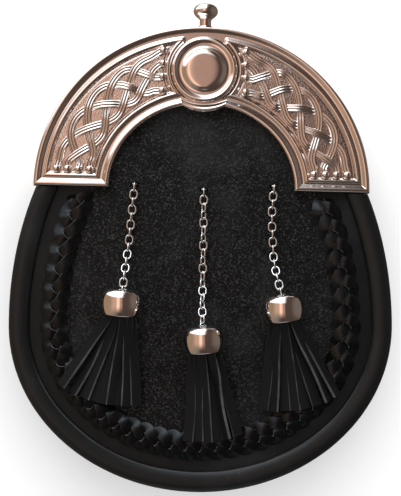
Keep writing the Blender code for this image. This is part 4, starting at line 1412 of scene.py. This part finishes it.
class Studio(bpy.types.Operator):
    """Floor, light, surroundings for the metal to reflect, and the camera"""

    bl_idname = "sporran.studio"
    bl_label = "Studio"

    def execute(self, context):
        scene = context.scene
        look = scene.sporran_studio
        scene.view_settings.view_transform = "Standard"
        self.add_world(scene)
        self.add_floor(look)
        self.add_room()
        self.add_window()
        self.add_camera(scene, look)
        return {"FINISHED"}

    def add_world(self, scene):
        world = bpy.data.worlds.new("studio_air")
        world.use_nodes = True
        background = world.node_tree.nodes["Background"]
        background.inputs["Color"].default_value = (1.0, 1.0, 1.0, 1.0)
        background.inputs["Strength"].default_value = 0.8
        scene.world = world

    def add_floor(self, look):
        shape = bmesh.new()
        bmesh.ops.create_grid(shape, x_segments=1, y_segments=1, size=3.0,
                              matrix=Matrix.Translation((0, 0, -0.2 * MM)))
        recipe = Recipe("pale_floor")
        tone = recipe.colours(recipe.cloud(3.0), look.floor, [0.99 * part for part in look.floor])
        recipe.surface(Base_Color=tone, Roughness=0.9, Specular_IOR_Level=0.0,
                       Emission_Color=tone, Emission_Strength=0.2)
        floor = as_object("floor", shape, recipe.material)
        floor.visible_glossy = False

    def add_room(self):
        """Surroundings that only gloss sees: warm at the left, dark at the right, lit above."""
        shape = bmesh.new()
        bmesh.ops.create_cube(shape, size=1.2, matrix=Matrix.Translation((0, 0, 0.4)))
        bmesh.ops.reverse_faces(shape, faces=shape.faces)
        recipe = Recipe("room_walls")
        recipe.tree.nodes.remove(recipe.shader)
        glow = recipe.node("Emission", {"Color": self.room_colour(recipe), "Strength": 1.0})
        recipe.feed(recipe.tree.nodes["Material Output"].inputs["Surface"], glow)
        recipe.material.cycles.emission_sampling = "NONE"
        room = as_object("room", shape, recipe.material)
        for ray in ("camera", "diffuse", "shadow", "transmission", "volume_scatter"):
            setattr(room, f"visible_{ray}", False)

    def room_colour(self, recipe):
        """What gloss sees in each direction: rows give where a colour fades in, and the colour."""
        heading = recipe.node("VectorMath", {0: recipe.position()}, operation="NORMALIZE")
        right, up, above = (recipe.part(heading, axis) for axis in range(3))
        wall = (0.6, 0.385, 0.275)
        for start, end, colour in ((-0.46, -0.28, (1.25, 0.77, 0.57)),
                                   (-0.22, -0.04, (0.45, 0.28, 0.222)),
                                   (0.035, 0.17, (0.085, 0.058, 0.047)),
                                   (0.55, 0.9, (0.17, 0.135, 0.115))):
            wall = recipe.fade(right, start, end, wall, colour)
        ground = recipe.fade(right, -0.6, -0.15, (0.24, 0.2, 0.165), (0.07, 0.052, 0.042))
        wall = recipe.fade(up, -0.68, -0.2, ground, wall)
        wall = recipe.fade(right, -0.9, -0.6, (0.34, 0.23, 0.15), wall)
        pane = recipe.stepped(up, 0.38, 0.5) * (1.0 - recipe.stepped(right, -0.1, 0.3))
        wall = recipe.colours(pane, wall, (1.6, 1.6, 1.6))
        spot = recipe.stepped(up, 0.6, 0.7) * recipe.stepped(right, -0.5, -0.35)
        spot *= 1.0 - recipe.stepped(right, 0.0, 0.12)
        wall = recipe.colours(spot, wall, (3.6, 3.6, 3.6))
        sill = 1.0 - recipe.stepped(up, -0.96, -0.9)
        wall = recipe.colours(sill, wall, (0.45, 0.43, 0.41))
        skirting = recipe.fade(right, -0.5, 0.4, (0.26, 0.165, 0.1), (0.15, 0.12, 0.1))
        return recipe.fade(above, -0.45, -0.12, skirting, wall)

    def add_window(self):
        light = bpy.data.lights.new("window", "AREA")
        light.shape = "RECTANGLE"
        light.size, light.size_y = 1.2, 0.7
        light.energy = 6.0
        lamp = bpy.data.objects.new("window", light)
        lamp.location = (0.0, 0.75, 0.55)
        lamp.rotation_euler = (-lamp.location).to_track_quat("-Z", "Y").to_euler()
        lamp.visible_glossy = False
        bpy.context.scene.collection.objects.link(lamp)

    def add_camera(self, scene, look):
        leather_level = 27 * MM
        sensor = 36.0
        camera = bpy.data.cameras.new("camera")
        camera.lens = sensor * (look.camera_height - leather_level) / look.view_height
        eye = bpy.data.objects.new("camera", camera)
        eye.location = (0.0001, -0.0001, look.camera_height)
        scene.collection.objects.link(eye)
        scene.camera = eye


PIECES = (FrontLeather, RearLeather, LacedBraid, CastCantle, KnotWork, CentreBoss, PressCatch,
          RearFrame, TasselChains, TasselCaps, TasselStrips, Studio)


class SporranPanel(bpy.types.Panel):
    """Lists the pieces and their settings"""

    bl_idname = "VIEW3D_PT_sporran"
    bl_label = "Sporran"
    bl_space_type = "VIEW_3D"
    bl_region_type = "UI"
    bl_category = "Sporran"

    def draw(self, context):
        for name, group in SETTINGS.items():
            column = self.layout.column(align=True)
            for setting in group.__annotations__:
                column.prop(getattr(context.scene, name), setting)
        for piece in PIECES:
            self.layout.operator(piece.bl_idname)


SETTINGS = {"sporran_leather": LeatherSettings, "sporran_metal": MetalSettings,
            "sporran_studio": StudioSettings}


def register():
    for name, group in SETTINGS.items():
        bpy.utils.register_class(group)
        setattr(bpy.types.Scene, name, PointerProperty(type=group))
    for item in (*PIECES, SporranPanel):
        bpy.utils.register_class(item)


def unregister():
    for item in (SporranPanel, *PIECES[::-1]):
        bpy.utils.unregister_class(item)
    for name, group in SETTINGS.items():
        delattr(bpy.types.Scene, name)
        bpy.utils.unregister_class(group)


def main():
    register()
    for piece in PIECES:
        group, name = piece.bl_idname.split(".")
        getattr(getattr(bpy.ops, group), name)()


if __name__ == "__main__":
    main()
